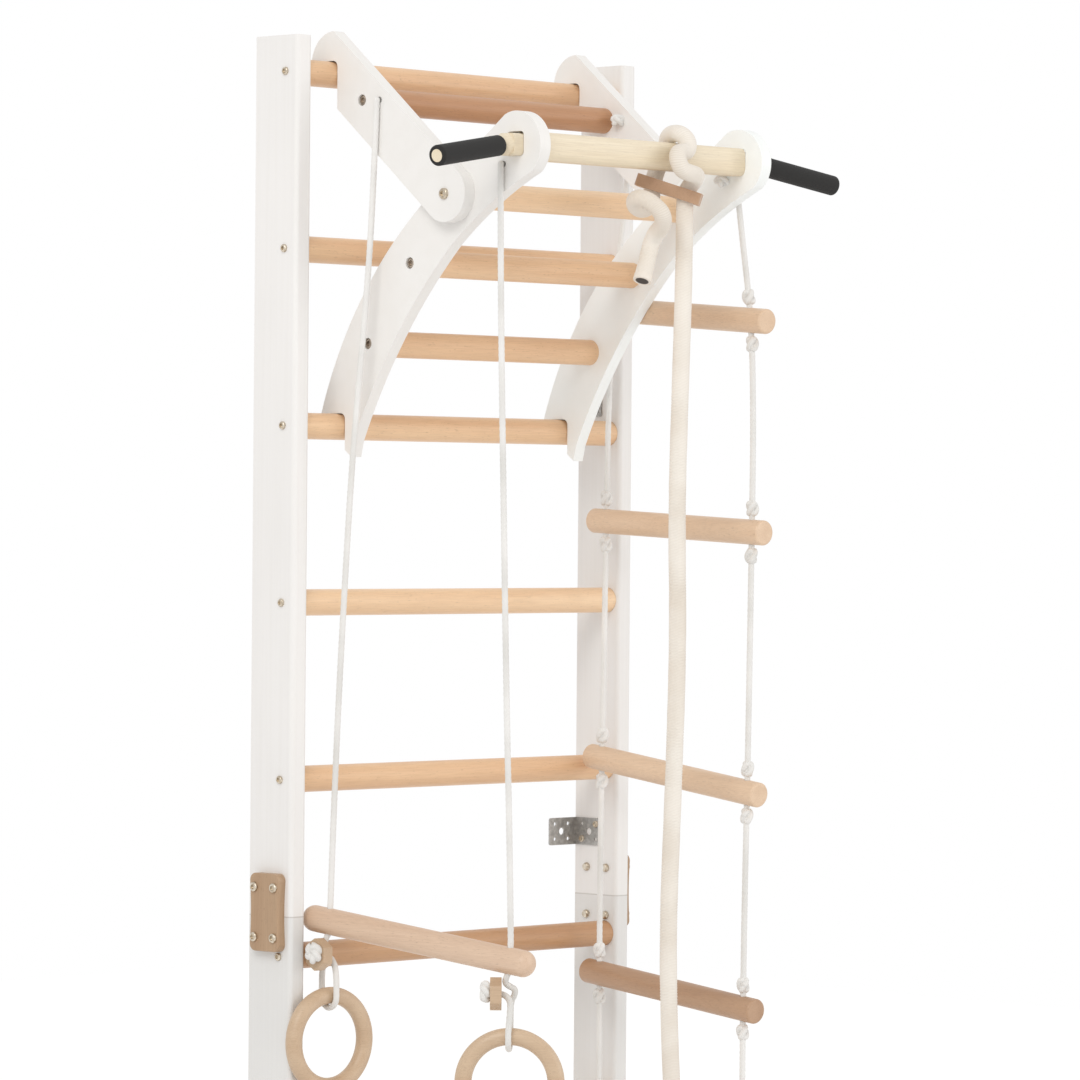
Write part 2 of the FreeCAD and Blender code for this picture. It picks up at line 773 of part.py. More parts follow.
def lower_arm(outer_side):
    """A lower arm, lying with its left face at the middle plane."""
    slot_half = rung_radius + slot_side_clearance
    rung_z = rung_height(lower_hook_rung)
    slot_rear = rung_from_wall - slot_half
    slot_front = rung_from_wall + slot_half
    finger_back = slot_rear - lower_finger_thickness
    finger_tip = rung_z - lower_finger_below_rung_axis
    rear_start = side_point(finger_back, rung_z + lower_rear_face_above_rung_axis)
    rear_middle = side_point(*lower_arm_place(rear_edge_middle_shares))
    rear_end = side_point(*lower_arm_place(rear_edge_end_shares))
    head_rear = side_point(*lower_arm_place(head_rear_shares))
    front_start = side_point(slot_front + lower_tip_top_thickness, rung_z - lower_tip_top_drop)
    front_middle = side_point(*lower_arm_place(front_edge_middle_shares))
    front_end = side_point(*lower_arm_place(front_edge_end_shares))
    neck_middle = side_point(*lower_arm_place(neck_middle_shares))
    head_front = side_point(*lower_arm_place(head_front_shares))
    head_centre = side_point(bar_from_wall, bar_slot_centre_height)
    outward = (head_front + head_rear) * (1 / 2) - head_centre
    head_far = head_centre + outward.normalize() * lower_head_radius
    tip_outer = side_point(slot_front + lower_tip_thickness, rung_z - lower_tip_drop)
    tip_inner = side_point(slot_front, rung_z - lower_tip_inner_drop)
    edges = [
        Part.Arc(rear_start, rear_middle, rear_end).toShape(),
        Part.LineSegment(rear_end, head_rear).toShape(),
        Part.Arc(head_rear, head_far, head_front).toShape(),
        Part.Arc(head_front, neck_middle, front_end).toShape(),
        Part.Arc(front_end, front_middle, front_start).toShape(),
        Part.LineSegment(front_start, tip_outer).toShape(),
        Part.LineSegment(tip_outer, tip_inner).toShape(),
        Part.LineSegment(tip_inner, side_point(slot_front, finger_tip)).toShape(),
        Part.LineSegment(side_point(slot_front, finger_tip), side_point(finger_back, finger_tip)).toShape(),
        Part.LineSegment(side_point(finger_back, finger_tip), rear_start).toShape(),
    ]
    board = Part.Face(Part.Wire(edges)).extrude(Vector(board_thickness, 0, 0))
    board = board.cut(rung_slot(lower_hook_rung, upper_arm_width))
    board = board.cut(bar_slot())
    board = board.cut(board_hole(joint_from_wall, rung_height(1) - joint_below_top_rung,
                                 arm_bolt_shank_diameter + 2 * fit_clearance))
    for shares in (middle_crossbar_shares, lower_crossbar_shares):
        centre = lower_arm_place(shares)
        board = board.cut(board_hole(*centre, arm_screw_shank_diameter + 2 * fit_clearance))
        board = board.cut(recess(*centre, outer_side))
    return board.cut(board_hole(*front_rope_hole(), rope_hole_diameter))


def bar_slot():
    """The hole in a lower arm's head that the pull-up bar passes through, for cutting."""
    centre = place(-cut_overrun, bar_from_wall, bar_slot_centre_height)
    length = board_thickness + 2 * cut_overrun
    slot = Part.makeBox(length, bar_slot_depth, bar_slot_height,
                        centre - Vector(0, bar_slot_depth / 2, bar_slot_height / 2))
    return slot.makeFillet(bar_slot_radius, edges_along(slot, Vector(1, 0, 0)))


def on_left_side(board, outer_face):
    """A board moved so that its outer face is this far left of the frame's middle."""
    moved = board.copy()
    moved.translate(Vector(frame_off_centre - outer_face, 0, 0))
    return moved


def on_right_side(board, outer_face):
    """A board moved so that its outer face is this far right of the frame's middle."""
    moved = board.copy()
    moved.translate(Vector(frame_off_centre + outer_face - board_thickness, 0, 0))
    return moved


def crossbar(centre, reach, bore_diameter, bore_depth):
    """A crossbar between the arms, with a bore in each end for its screw."""
    out, height = centre
    left = place(frame_off_centre - reach, out, height)
    right = place(frame_off_centre + reach, out, height)
    bar = rod(left, right, crossbar_diameter)
    inward = Vector(1, 0, 0)
    bore = bore_diameter + 2 * fit_clearance
    bar = bar.cut(rod(left - inward * cut_overrun, left + inward * (bore_depth + fit_clearance), bore))
    return bar.cut(rod(right + inward * cut_overrun, right - inward * (bore_depth + fit_clearance), bore))


def arm_bolts():
    """The two bolts that join an upper arm, a lower arm and the joint crossbar."""
    bolts = []
    for side in (-1, 1):
        seat = place(frame_off_centre + side * outer_board_face, joint_from_wall,
                     rung_height(1) - joint_below_top_rung)
        bolts.append(domed_screw(seat, Vector(side, 0, 0), arm_bolt_head_diameter, arm_bolt_head_height,
                                 arm_bolt_shank_diameter, 2 * board_thickness + arm_bolt_depth_in_bar))
    return group(bolts)


def crossbar_screws():
    """Recessed screws at the other three crossbars."""
    screws = []
    places = [
        (upper_crossbar_place(), outer_board_face),
        (lower_arm_place(middle_crossbar_shares), seam_board_face),
        (lower_arm_place(lower_crossbar_shares), seam_board_face),
    ]
    for (out, height), outer_face in places:
        for side in (-1, 1):
            seat = place(frame_off_centre + side * (outer_face - arm_screw_recess), out, height)
            shank = board_thickness - arm_screw_recess + arm_screw_depth_in_bar
            screws.append(domed_screw(seat, Vector(side, 0, 0), arm_screw_head_diameter,
                                      arm_screw_head_height, arm_screw_shank_diameter, shank))
    return group(screws)


def grip_line(side):
    """The start and end of the bent part of the pull-up bar on one side."""
    elbow = place(frame_off_centre + side * neck_reach, bar_from_wall, neck_height_above_floor)
    end = place(frame_off_centre + side * grip_reach, bar_from_wall + grip_forward,
                neck_height_above_floor - grip_drop)
    return elbow, end


def pull_up_bar():
    """The bar: deep between the arms, square in their slots, round and bent at both ends."""
    middle_low = place(frame_off_centre - inner_board_face, bar_from_wall - bar_depth / 2,
                       neck_height_above_floor - bar_height / 2)
    middle_high = place(frame_off_centre + inner_board_face, bar_from_wall + bar_depth / 2,
                        neck_height_above_floor + bar_height / 2)
    middle = block(middle_low, middle_high)
    middle = middle.makeFillet(bar_edge_radius, edges_along(middle, Vector(1, 0, 0)))
    neck_low = place(frame_off_centre - neck_reach, bar_from_wall - neck_width / 2,
                     neck_height_above_floor - neck_width / 2)
    neck_high = place(frame_off_centre + neck_reach, bar_from_wall + neck_width / 2,
                      neck_height_above_floor + neck_width / 2)
    neck = block(neck_low, neck_high)
    neck = neck.makeFillet(neck_edge_radius, edges_along(neck, Vector(1, 0, 0)))
    bar = middle.fuse(neck)
    for side in (-1, 1):
        elbow, end = grip_line(side)
        bar = bar.fuse(Part.makeSphere(neck_width / 2, elbow))
        bar = bar.fuse(rod(elbow, end, grip_core_diameter))
    return bar


def grip(side):
    """A soft grip on one end of the pull-up bar."""
    elbow, end = grip_line(side)
    along = (end - elbow).normalize()
    start = elbow + along * grip_start
    sleeve = rounded_rod(start, end, grip_diameter, grip_end_radius)
    bore = rod(start - along * cut_overrun, end + along * cut_overrun, grip_core_diameter + 2 * fit_clearance)
    return sleeve.cut(bore)


# Ropes

def arm_knot(side, outer_face, hole):
    """The end of a thin rope in an arm: a stub through the hole and a knot at the inner face."""
    out, height = hole
    outer = place(frame_off_centre + side * outer_face, out, height)
    inner = place(frame_off_centre + side * (outer_face - board_thickness), out, height)
    knot_end = inner + Vector(-side * arm_knot_length, 0, 0)
    knot = rounded_rod(inner, knot_end, arm_knot_diameter, arm_knot_length * knot_round_share)
    return knot.fuse(rod(outer, inner, thin_rope_diameter))


def arm_knots(side):
    """The rear and front rope ends in the arms of one side."""
    return group([
        arm_knot(side, outer_board_face, rear_rope_hole()),
        arm_knot(side, seam_board_face, front_rope_hole()),
    ])


def shifted_route(route, top_shift, end_shift):
    """A route with its ends shifted, and the points between in proportion to their height."""
    drop = route[0].z - route[-1].z
    points = []
    for point in route:
        share = (route[0].z - point.z) / drop
        points.append(point + top_shift * (1 - share) + end_shift * share)
    return points


def rope_hole_exit(side, outer_face, hole):
    """The axis of a thin rope that hangs beside the outer face of an arm, at its hole."""
    out, height = hole
    across = outer_face + thin_rope_diameter / 2 + rope_beside_board
    return place(frame_off_centre + side * across, out, height)


def trapeze_routes():
    """The routes of the trapeze's rear and front rope."""
    rear, front = trapeze_points()
    rear_shift = rope_hole_exit(-1, outer_board_face, rear_rope_hole()) - trapeze_rear_route[0]
    front_shift = rope_hole_exit(-1, seam_board_face, front_rope_hole()) - trapeze_front_route[0]
    return (shifted_route(trapeze_rear_route, rear_shift, rear - drawn_trapeze_rear),
            shifted_route(trapeze_front_route, front_shift, front - drawn_trapeze_front))


def ladder_routes():
    """The routes of the ladder's rear and front rope."""
    routes = []
    for route, outer_face, hole, end_height in (
            (ladder_rear_route, outer_board_face, rear_rope_hole(), ladder_rear_end_height),
            (ladder_front_route, seam_board_face, front_rope_hole(), ladder_front_end_height)):
        top_shift = rope_hole_exit(1, outer_face, hole) - route[0]
        end_shift = Vector(top_shift.x, top_shift.y, place(0, 0, end_height).z - route[-1].z)
        routes.append(shifted_route(route, top_shift, end_shift))
    return routes


def stop_plate_centre():
    """The middle of the stop plate."""
    return place(stop_plate_from_left_post - half_width, stop_plate_from_wall,
                 bar_slot_centre_height - stop_plate_below_bar)


def hitch_points():
    """The route of the hitch, round the pull-up bar and through the stop plate."""
    shift = stop_plate_centre() - drawn_plate_centre
    return shifted_route(hitch_route, shift, shift)


def climbing_rope_points():
    """The route of the climbing rope below the stop plate."""
    shift = stop_plate_centre() - drawn_plate_centre
    end_shift = Vector(shift.x, shift.y,
                       place(0, 0, climbing_rope_end_height).z - climbing_rope_route[-1].z)
    return shifted_route(climbing_rope_route, shift, end_shift)


def hanging_rope(name, points, diameter):
    """A rope whose upper end is a half ball, so that it can swing below its hole."""
    return checked_cord(name, points, diameter).fuse(Part.makeSphere(diameter / 2, points[0]))


def link_rope(name, points):
    """A rope of the trapeze: a half ball at each end, where it turns."""
    rope = hanging_rope(name, points, thin_rope_diameter)
    return rope.fuse(Part.makeSphere(thin_rope_diameter / 2, points[-1]))


def taped_end(points, length):
    """A cap of tape over the end of the climbing rope."""
    end = points[-1]
    along = (end - points[-2]).normalize()
    return rounded_rod(end, end + along * length, climbing_rope_diameter + 2 * tape_thickness,
                       tape_thickness)


def stop_plate():
    """The wooden plate below the pull-up bar, with a hole for each leg of the rope."""
    corner = Vector(stop_plate_length, stop_plate_width, stop_plate_thickness) * (-1 / 2)
    plate = Part.makeBox(stop_plate_length, stop_plate_width, stop_plate_thickness, corner)
    plate = plate.makeFillet(stop_plate_corner_radius, edges_along(plate, Vector(0, 0, 1)))
    plate.rotate(Vector(0, 0, 0), Vector(0, 1, 0), stop_plate_tilt_deg)
    plate.rotate(Vector(0, 0, 0), Vector(0, 0, 1), stop_plate_turn_deg)
    plate.translate(stop_plate_centre())
    return plate.cut(cord(hitch_points(), climbing_rope_diameter + 2 * fit_clearance))


# Trapeze and rings

def trapeze_points():
    """The trapeze bar's axis below its rear and its front rope."""
    rear = place(trapeze_rear_from_left_post - half_width, trapeze_rear_from_wall, trapeze_rear_height)
    front = place(trapeze_front_from_left_post - half_width, trapeze_front_from_wall, trapeze_front_height)
    return rear, front


def trapeze_bar():
    """The wooden bar with round ends and two rope holes."""
    rear, front = trapeze_points()
    along = (front - rear).normalize()
    bar = rounded_rod(rear - along * trapeze_rear_overhang, front + along * trapeze_front_overhang,
                      trapeze_bar_diameter, trapeze_bar_end_radius)
    up = Vector(0, 0, trapeze_bar_diameter)
    for hole in (rear, front):
        bar = bar.cut(rod(hole - up, hole + up, rope_hole_diameter))
    return bar


def slider():
    """A six-sided wooden block beside the loop, as it lies below a hole of the bar at the origin."""
    radius = slider_height / 2
    centre = Vector(-slider_beside_loop - slider_thickness / 2, 0, -slider_below_bar)
    corners = []
    for step in range(6 + 1):
        angle = 2 * math.pi * step / 6
        corners.append(centre + Vector(0, radius * math.sin(angle), radius * math.cos(angle)))
    body = Part.Face(Part.makePolygon(corners)).extrude(Vector(slider_thickness, 0, 0))
    body = body.makeFillet(slider_edge_radius, edges_along(body, Vector(1, 0, 0)))
    hole_start = centre - Vector(cut_overrun, 0, 0)
    return body.cut(rod(hole_start, hole_start + Vector(slider_thickness + 2 * cut_overrun, 0, 0),
                        rope_hole_diameter))


def bent_rod(centre, start, turn_deg, diameter):
    """A round rod that starts at a point and turns about the x axis through a centre."""
    axis = Vector(1, 0, 0)
    section = Part.Face(Part.Wire(Part.makeCircle(diameter / 2, start, axis.cross(start - centre))))
    return section.revolve(centre, axis, turn_deg)


def ring_loop():
    """The rope below a hole of the bar at the origin: stub, loop round the ring, and the slider's knot."""
    low_radius = ring_tube_diameter / 2 + loop_clearance + thin_rope_diameter / 2
    low = Vector(0, 0, -ring_below_bar)
    high = Vector(0, 0, -loop_top_below_bar)
    slope = math.asin((low_radius - loop_top_radius) / (high - low).Length)
    side = Vector(0, math.cos(slope), math.sin(slope))
    other_side = Vector(0, -math.cos(slope), math.sin(slope))
    full_turn = math.degrees(2 * math.pi)
    low_turn = full_turn / 2 + math.degrees(2 * slope)
    top_turn = full_turn / 2 - math.degrees(2 * slope)
    loop = bent_rod(low, low + other_side * low_radius, low_turn, thin_rope_diameter)
    top_arc = bent_rod(high, high + side * loop_top_radius, top_turn, thin_rope_diameter)
    near_leg = rod(high + side * loop_top_radius, low + side * low_radius, thin_rope_diameter)
    far_leg = rod(high + other_side * loop_top_radius, low + other_side * low_radius, thin_rope_diameter)
    stub = rod(Vector(0, 0, trapeze_bar_diameter / 2), high + Vector(0, 0, loop_top_radius),
               thin_rope_diameter - loop_branch_slimmer / 2)
    branch_diameter = thin_rope_diameter - loop_branch_slimmer
    slider_face = Vector(-slider_beside_loop - slider_thickness / 2, 0, -slider_below_bar)
    tie = rod(slider_face, Vector(0, 0, -slider_below_bar), branch_diameter)
    knot = rounded_rod(slider_face, slider_face - Vector(slider_knot_height, 0, 0),
                       slider_knot_diameter, slider_knot_height * knot_round_share)
    across = Vector(0, loop_top_radius, 0)
    bridge = rod(high + across, high - across, branch_diameter)
    return loop.fuse([near_leg, far_leg, top_arc, stub, tie, knot, bridge])


def below_bar(shape, hole, turn_deg):
    """A copy of a shape made below the origin, turned about the vertical and moved below a hole."""
    moved = shape.copy()
    moved.rotate(Vector(0, 0, 0), Vector(0, 0, 1), turn_deg)
    moved.translate(hole)
    return moved


def gym_ring():
    """A wooden ring, as it hangs below a hole of the bar at the origin, facing the wall."""
    ring_radius = (ring_outer_diameter - ring_tube_diameter) / 2
    centre = Vector(0, 0, -ring_below_bar - ring_radius)
    return Part.makeTorus(ring_radius, ring_tube_diameter / 2, centre, Vector(0, 1, 0))


# Rope ladder

def ladder_rung_line(number):
    """Where the two ropes cross a ladder rung's axis."""
    rear_route, front_route = ladder_routes()
    step = 2 * number
    return rear_route[step], front_route[step]


def ladder_rung(number, rope_cutters):
    """A wooden rung of the rope ladder, with a hole for each rope."""
    rear, front = ladder_rung_line(number)
    along = (front - rear).normalize()
    overhang = (ladder_rung_length - (front - rear).Length) / 2
    bar = rounded_rod(rear - along * overhang, front + along * overhang, ladder_rung_diameter,
                      ladder_rung_end_radius)
    return bar.cut(rope_cutters)


def ladder_knots(rope_cutters):
    """A knot above and below each rung on both ropes."""
    knots = []
    lift = (ladder_rung_diameter + ladder_knot_length) / 2 + ladder_knot_clearance
    half = ladder_knot_length / 2
    for number in range(1, ladder_rung_count + 1):
        for crossing, route, cutter in zip(ladder_rung_line(number), ladder_routes(), rope_cutters):
            step = 2 * number
            for direction, neighbour in ((1, route[step - 1]), (-1, route[step + 1])):
                along = (neighbour - crossing).normalize()
                middle = crossing + along * lift
                knot = rounded_rod(middle - along * half, middle + along * half, ladder_knot_diameter,
                                   ladder_knot_diameter * knot_round_share)
                knot.rotate(middle, along, ladder_knot_turn_deg)
                knots.append(knot.cut(cutter))
    return group(knots)


def build():
    """Every sub-part by name."""
    parts = {}
    for name, low, high in (("upper", seam_height, post_height), ("lower", 0, seam_height)):
        right = post_half(low, high)
        parts["right_post_" + name] = right
        parts["left_post_" + name] = mirrored(right)
    for number in range(1, rung_count + 1):
        parts["rung_%d" % number] = wall_rung(number)
    parts["rung_screws"] = rung_screws()
    plate = joint_plate()
    parts["right_joint_plate"] = plate
    parts["left_joint_plate"] = mirrored(plate)
    parts["joint_plate_bolts"] = joint_plate_bolts()
    parts["joint_plate_nuts"] = joint_plate_nuts()
    for name, height in bracket_heights.items():
        bracket = wall_bracket(height)
        parts["wall_brackets_" + name] = group([bracket, mirrored(bracket)])
    parts["bracket_screws"] = bracket_screws()

    parts["left_upper_arm"] = on_left_side(upper_arm(-1), outer_board_face)
    parts["right_upper_arm"] = on_right_side(upper_arm(1), outer_board_face)
    parts["left_lower_arm"] = on_left_side(lower_arm(-1), seam_board_face)
    parts["right_lower_arm"] = on_right_side(lower_arm(1), seam_board_face)
    joint = (joint_from_wall, rung_height(1) - joint_below_top_rung)
    parts["upper_crossbar"] = crossbar(upper_crossbar_place(), seam_board_face,
                                       arm_screw_shank_diameter, arm_screw_depth_in_bar)
    parts["joint_crossbar"] = crossbar(joint, inner_board_face, arm_bolt_shank_diameter,
                                       arm_bolt_depth_in_bar)
    parts["middle_crossbar"] = crossbar(lower_arm_place(middle_crossbar_shares), inner_board_face,
                                        arm_screw_shank_diameter, arm_screw_depth_in_bar)
    parts["lower_crossbar"] = crossbar(lower_arm_place(lower_crossbar_shares), inner_board_face,
                                       arm_screw_shank_diameter, arm_screw_depth_in_bar)
    parts["arm_bolts"] = arm_bolts()
    parts["crossbar_screws"] = crossbar_screws()
    parts["pull_up_bar"] = pull_up_bar()
    parts["left_grip"] = grip(-1)
    parts["right_grip"] = grip(1)
    parts["trapeze_arm_knots"] = arm_knots(-1)
    parts["ladder_arm_knots"] = arm_knots(1)

    parts["rope_hitch"] = checked_cord("rope_hitch", hitch_points(), climbing_rope_diameter)
    parts["rope_tail_tape"] = taped_end(hitch_points(), tail_tape_length)
    parts["stop_plate"] = stop_plate()
    rope_points = climbing_rope_points()
    parts["climbing_rope"] = hanging_rope("climbing_rope", rope_points, climbing_rope_diameter)
    parts["climbing_rope_end"] = taped_end(rope_points, rope_end_length)

    rear, front = trapeze_points()
    rear_route, front_route = trapeze_routes()
    parts["trapeze_rear_rope"] = link_rope("trapeze_rear_rope", rear_route)
    parts["trapeze_front_rope"] = link_rope("trapeze_front_rope", front_route)
    parts["trapeze_bar"] = trapeze_bar()
    parts["ring_sliders"] = group([
        below_bar(slider(), rear, rear_ring_turn_deg), below_bar(slider(), front, front_ring_turn_deg)])
    parts["ring_loops"] = group([
        below_bar(ring_loop(), rear, rear_ring_turn_deg), below_bar(ring_loop(), front, front_ring_turn_deg)])
    parts["rear_ring"] = below_bar(gym_ring(), rear, rear_ring_turn_deg)
    parts["front_ring"] = below_bar(gym_ring(), front, front_ring_turn_deg)

    hole_diameter = thin_rope_diameter + 2 * ladder_rope_clearance
    rear_route, front_route = ladder_routes()
    rope_cutters = [cord(rear_route, hole_diameter), cord(front_route, hole_diameter)]
    for number in range(1, ladder_rung_count + 1):
        parts["ladder_rung_%d" % number] = ladder_rung(number, rope_cutters)
    parts["ladder_knots"] = ladder_knots(rope_cutters)
    parts["ladder_rear_rope"] = hanging_rope("ladder_rear_rope", rear_route, thin_rope_diameter)
    parts["ladder_front_rope"] = hanging_rope("ladder_front_rope", front_route, thin_rope_diameter)
    return parts


os.makedirs("parts", exist_ok=True)
for node, shape in build().items():
    shape.exportStep("parts/" + node + ".step")
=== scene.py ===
# %% [markdown]
# # Wall bars with a pull-up frame, a trapeze with rings, a rope ladder and a climbing rope
#
# The object is a piece of gymnastics furniture: two white posts on a wall, ten round beech rungs
# between them, and a hook-on frame that carries a pull-up bar, a trapeze with two rings, a rope
# ladder and a climbing rope.
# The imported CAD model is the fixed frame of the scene. Every number below is in its coordinates:
# x to the right along the wall, y into the wall, z up, all in metres once a point is used.

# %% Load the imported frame
import math

import bmesh
import bpy
from mathutils import Matrix, Vector, noise


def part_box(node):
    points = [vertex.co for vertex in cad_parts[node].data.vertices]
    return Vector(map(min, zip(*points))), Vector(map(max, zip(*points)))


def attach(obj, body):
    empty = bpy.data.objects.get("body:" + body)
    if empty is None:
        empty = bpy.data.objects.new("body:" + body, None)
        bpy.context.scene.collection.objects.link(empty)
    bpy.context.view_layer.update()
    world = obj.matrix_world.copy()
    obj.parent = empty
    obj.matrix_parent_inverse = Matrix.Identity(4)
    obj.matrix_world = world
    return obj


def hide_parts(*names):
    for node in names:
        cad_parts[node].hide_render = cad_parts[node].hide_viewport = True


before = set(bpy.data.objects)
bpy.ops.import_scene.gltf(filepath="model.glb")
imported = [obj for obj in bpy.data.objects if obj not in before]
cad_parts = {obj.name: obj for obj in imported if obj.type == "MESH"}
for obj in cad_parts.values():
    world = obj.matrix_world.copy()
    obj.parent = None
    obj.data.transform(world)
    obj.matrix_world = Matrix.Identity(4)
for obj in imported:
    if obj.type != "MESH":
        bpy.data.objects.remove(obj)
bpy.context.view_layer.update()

# %% [markdown]
# ## The camera
#
# The picture was taken from far away with a long lens, so parallel edges hardly converge.
# A lens can be guessed by eye, or solved from the even spacing of the rungs. It was solved:
# a 180 mm lens on a 36 mm sensor, about seven metres away, turned 46 degrees from the wall's
# normal. The camera's axes are built by hand, because a solved view is three directions and not
# three angles.

# %% Camera
VIEW_YAW = math.radians(46.4538)
VIEW_PITCH = math.radians(-0.2653)
VIEW_ROLL = math.radians(0.4805)
VIEW_PLACE = Vector((-4.9486, -4.9040, 0.4185))
LENS = 180.0
SENSOR_WIDTH = 36.0
FARTHEST_SEEN = 60.0

ahead = Vector((math.sin(VIEW_YAW) * math.cos(VIEW_PITCH),
                math.cos(VIEW_YAW) * math.cos(VIEW_PITCH),
                math.sin(VIEW_PITCH)))
level = Vector((math.cos(VIEW_YAW), -math.sin(VIEW_YAW), 0.0))
upright = level.cross(ahead)
camera_right = level * math.cos(VIEW_ROLL) + upright * math.sin(VIEW_ROLL)
camera_up = upright * math.cos(VIEW_ROLL) - level * math.sin(VIEW_ROLL)

camera_data = bpy.data.cameras.new("picture_camera")
camera_data.lens = LENS
camera_data.sensor_width = SENSOR_WIDTH
camera_data.clip_end = FARTHEST_SEEN
camera = bpy.data.objects.new("picture_camera", camera_data)
bpy.context.scene.collection.objects.link(camera)
axes = Matrix((camera_right, camera_up, -ahead)).transposed()
camera.matrix_world = Matrix.Translation(VIEW_PLACE) @ axes.to_4x4()
bpy.context.scene.camera = camera
print("camera at", tuple(VIEW_PLACE))

# %% [markdown]
# ## Small helpers for meshes
#
# Most pieces that Blender adds here are tubes that follow a line: ropes, knots and loops.
# A curve with a round bevel would give a plain pipe. A sweep written out as a mesh lets the radius
# change along the rope and round it, so that the lay and the braid are real relief.

# %% Mesh helpers
MM = 0.001
SPLINE_ORDER = 3
SPLINE_STEPS = 24
SHORTEST_RUN = 1e-9
BALL_STEPS = 5


def in_metres(points):
    """Points given in millimetres, as the CAD source gives them."""
    return [Vector(point) * MM for point in points]


def linked(name, data):
    """A new object at the origin for a mesh, a curve or a lamp."""
    made = bpy.data.objects.new(name, data)
    bpy.context.scene.collection.objects.link(made)
    return made


def smooth_by_angle(mesh, degrees):
    """Smooth shading with sharp edges where faces meet at more than an angle."""
    work = bmesh.new()
    work.from_mesh(mesh)
    for face in work.faces:
        face.smooth = True
    for edge in work.edges:
        flat = edge.calc_face_angle(0.0) < math.radians(degrees)
        edge.smooth = len(edge.link_faces) == 2 and flat
    work.to_mesh(mesh)
    work.free()


def route_line(points, spacing):
    """Evenly spaced points along the smooth NURBS spline that a route controls."""
    curve = bpy.data.curves.new("route", "CURVE")
    curve.dimensions = "3D"
    spline = curve.splines.new("NURBS")
    spline.points.add(len(points) - 1)
    for control, place in zip(spline.points, points):
        control.co = (*place, 1.0)
    spline.order_u = SPLINE_ORDER
    spline.use_endpoint_u = True
    spline.resolution_u = SPLINE_STEPS
    holder = linked("route", curve)
    bpy.context.view_layer.update()
    depsgraph = bpy.context.evaluated_depsgraph_get()
    sampled = bpy.data.meshes.new_from_object(holder.evaluated_get(depsgraph))
    fine = [vertex.co.copy() for vertex in sampled.vertices]
    bpy.data.objects.remove(holder)
    bpy.data.curves.remove(curve)
    bpy.data.meshes.remove(sampled)
    return resampled(fine, spacing)


def resampled(fine, spacing):
    """The same line with points at an even spacing."""
    reach = [0.0]
    for before, after in zip(fine, fine[1:]):
        reach.append(reach[-1] + (after - before).length)
    count = max(2, round(reach[-1] / spacing))
    even = []
    index = 0
    for step in range(count + 1):
        wanted = reach[-1] * step / count
        while index < len(fine) - 2 and reach[index + 1] < wanted:
            index += 1
        run = max(reach[index + 1] - reach[index], SHORTEST_RUN)
        even.append(fine[index].lerp(fine[index + 1], (wanted - reach[index]) / run))
    return even


def line_length(line):
    """The length of a line of points."""
    return sum((after - before).length for before, after in zip(line, line[1:]))


def frames_along(line, closed):
    """A side, an up and a forward direction at each point, turned as little as possible."""
    count = len(line)
    tangents = []
    for index in range(count):
        before = line[index - 1] if closed or index > 0 else line[index]
        after = line[(index + 1) % count] if closed or index < count - 1 else line[index]
        tangents.append((after - before).normalized())
    side = tangents[0].orthogonal().normalized()
    frames = []
    for index, tangent in enumerate(tangents):
        if index:
            side = tangents[index - 1].rotation_difference(tangent) @ side
        side = (side - tangent * side.dot(tangent)).normalized()
        frames.append((side, tangent.cross(side), tangent))
    return frames


def half_ball(centre, directions, radius, reach):
    """The rings of a half ball at a tube's end. A negative radius makes it point backwards."""
    rings = []
    for step in range(1, BALL_STEPS):
        turn = math.pi / 2 * step / BALL_STEPS
        place = centre + directions[2] * radius * math.sin(turn)
        rings.append((place, directions, reach, math.cos(turn)))
    return rings


def sweep(name, line, sides, radius_at, closed=False, start_ball=False, end_ball=False):
    """A tube along a line: radius_at(distance, angle) is its radius, and an end may be a ball."""
    frames = frames_along(line, closed)
    rings = []
    distance = 0.0
    for index, centre in enumerate(line):
        if index:
            distance += (centre - line[index - 1]).length
        rings.append((centre, frames[index], distance, 1.0))
    start_tip = radius_at(0.0, 0.0) if start_ball else 0.0
    end_tip = radius_at(distance, 0.0) if end_ball else 0.0
    if start_ball:
        rings = half_ball(line[0], frames[0], -start_tip, 0.0)[::-1] + rings
    if end_ball:
        rings += half_ball(line[-1], frames[-1], end_tip, distance)
    vertices = []
    lengths = []
    for centre, (side, up, _), reach, share in rings:
        for step in range(sides):
            angle = 2 * math.pi * step / sides
            out = side * math.cos(angle) + up * math.sin(angle)
            vertices.append(centre + out * radius_at(reach, angle) * share)
        lengths.append(reach)
    faces = []
    for ring in range(len(rings) if closed else len(rings) - 1):
        after = (ring + 1) % len(rings)
        for step in range(sides):
            beside = (step + 1) % sides
            faces.append((ring * sides + step, ring * sides + beside,
                          after * sides + beside, after * sides + step))
    if not closed:
        first_pole = len(vertices)
        vertices.append(line[0] - frames[0][2] * start_tip)
        vertices.append(line[-1] + frames[-1][2] * end_tip)
        end = (len(rings) - 1) * sides
        for step in range(sides):
            beside = (step + 1) % sides
            faces.append((beside, step, first_pole))
            faces.append((end + step, end + beside, first_pole + 1))
    mesh = bpy.data.meshes.new(name)
    mesh.from_pydata(vertices, [], faces)
    add_rope_uv(mesh, sides, lengths, distance)
    mesh.polygons.foreach_set("use_smooth", [True] * len(mesh.polygons))
    mesh.update()
    return linked(name, mesh)


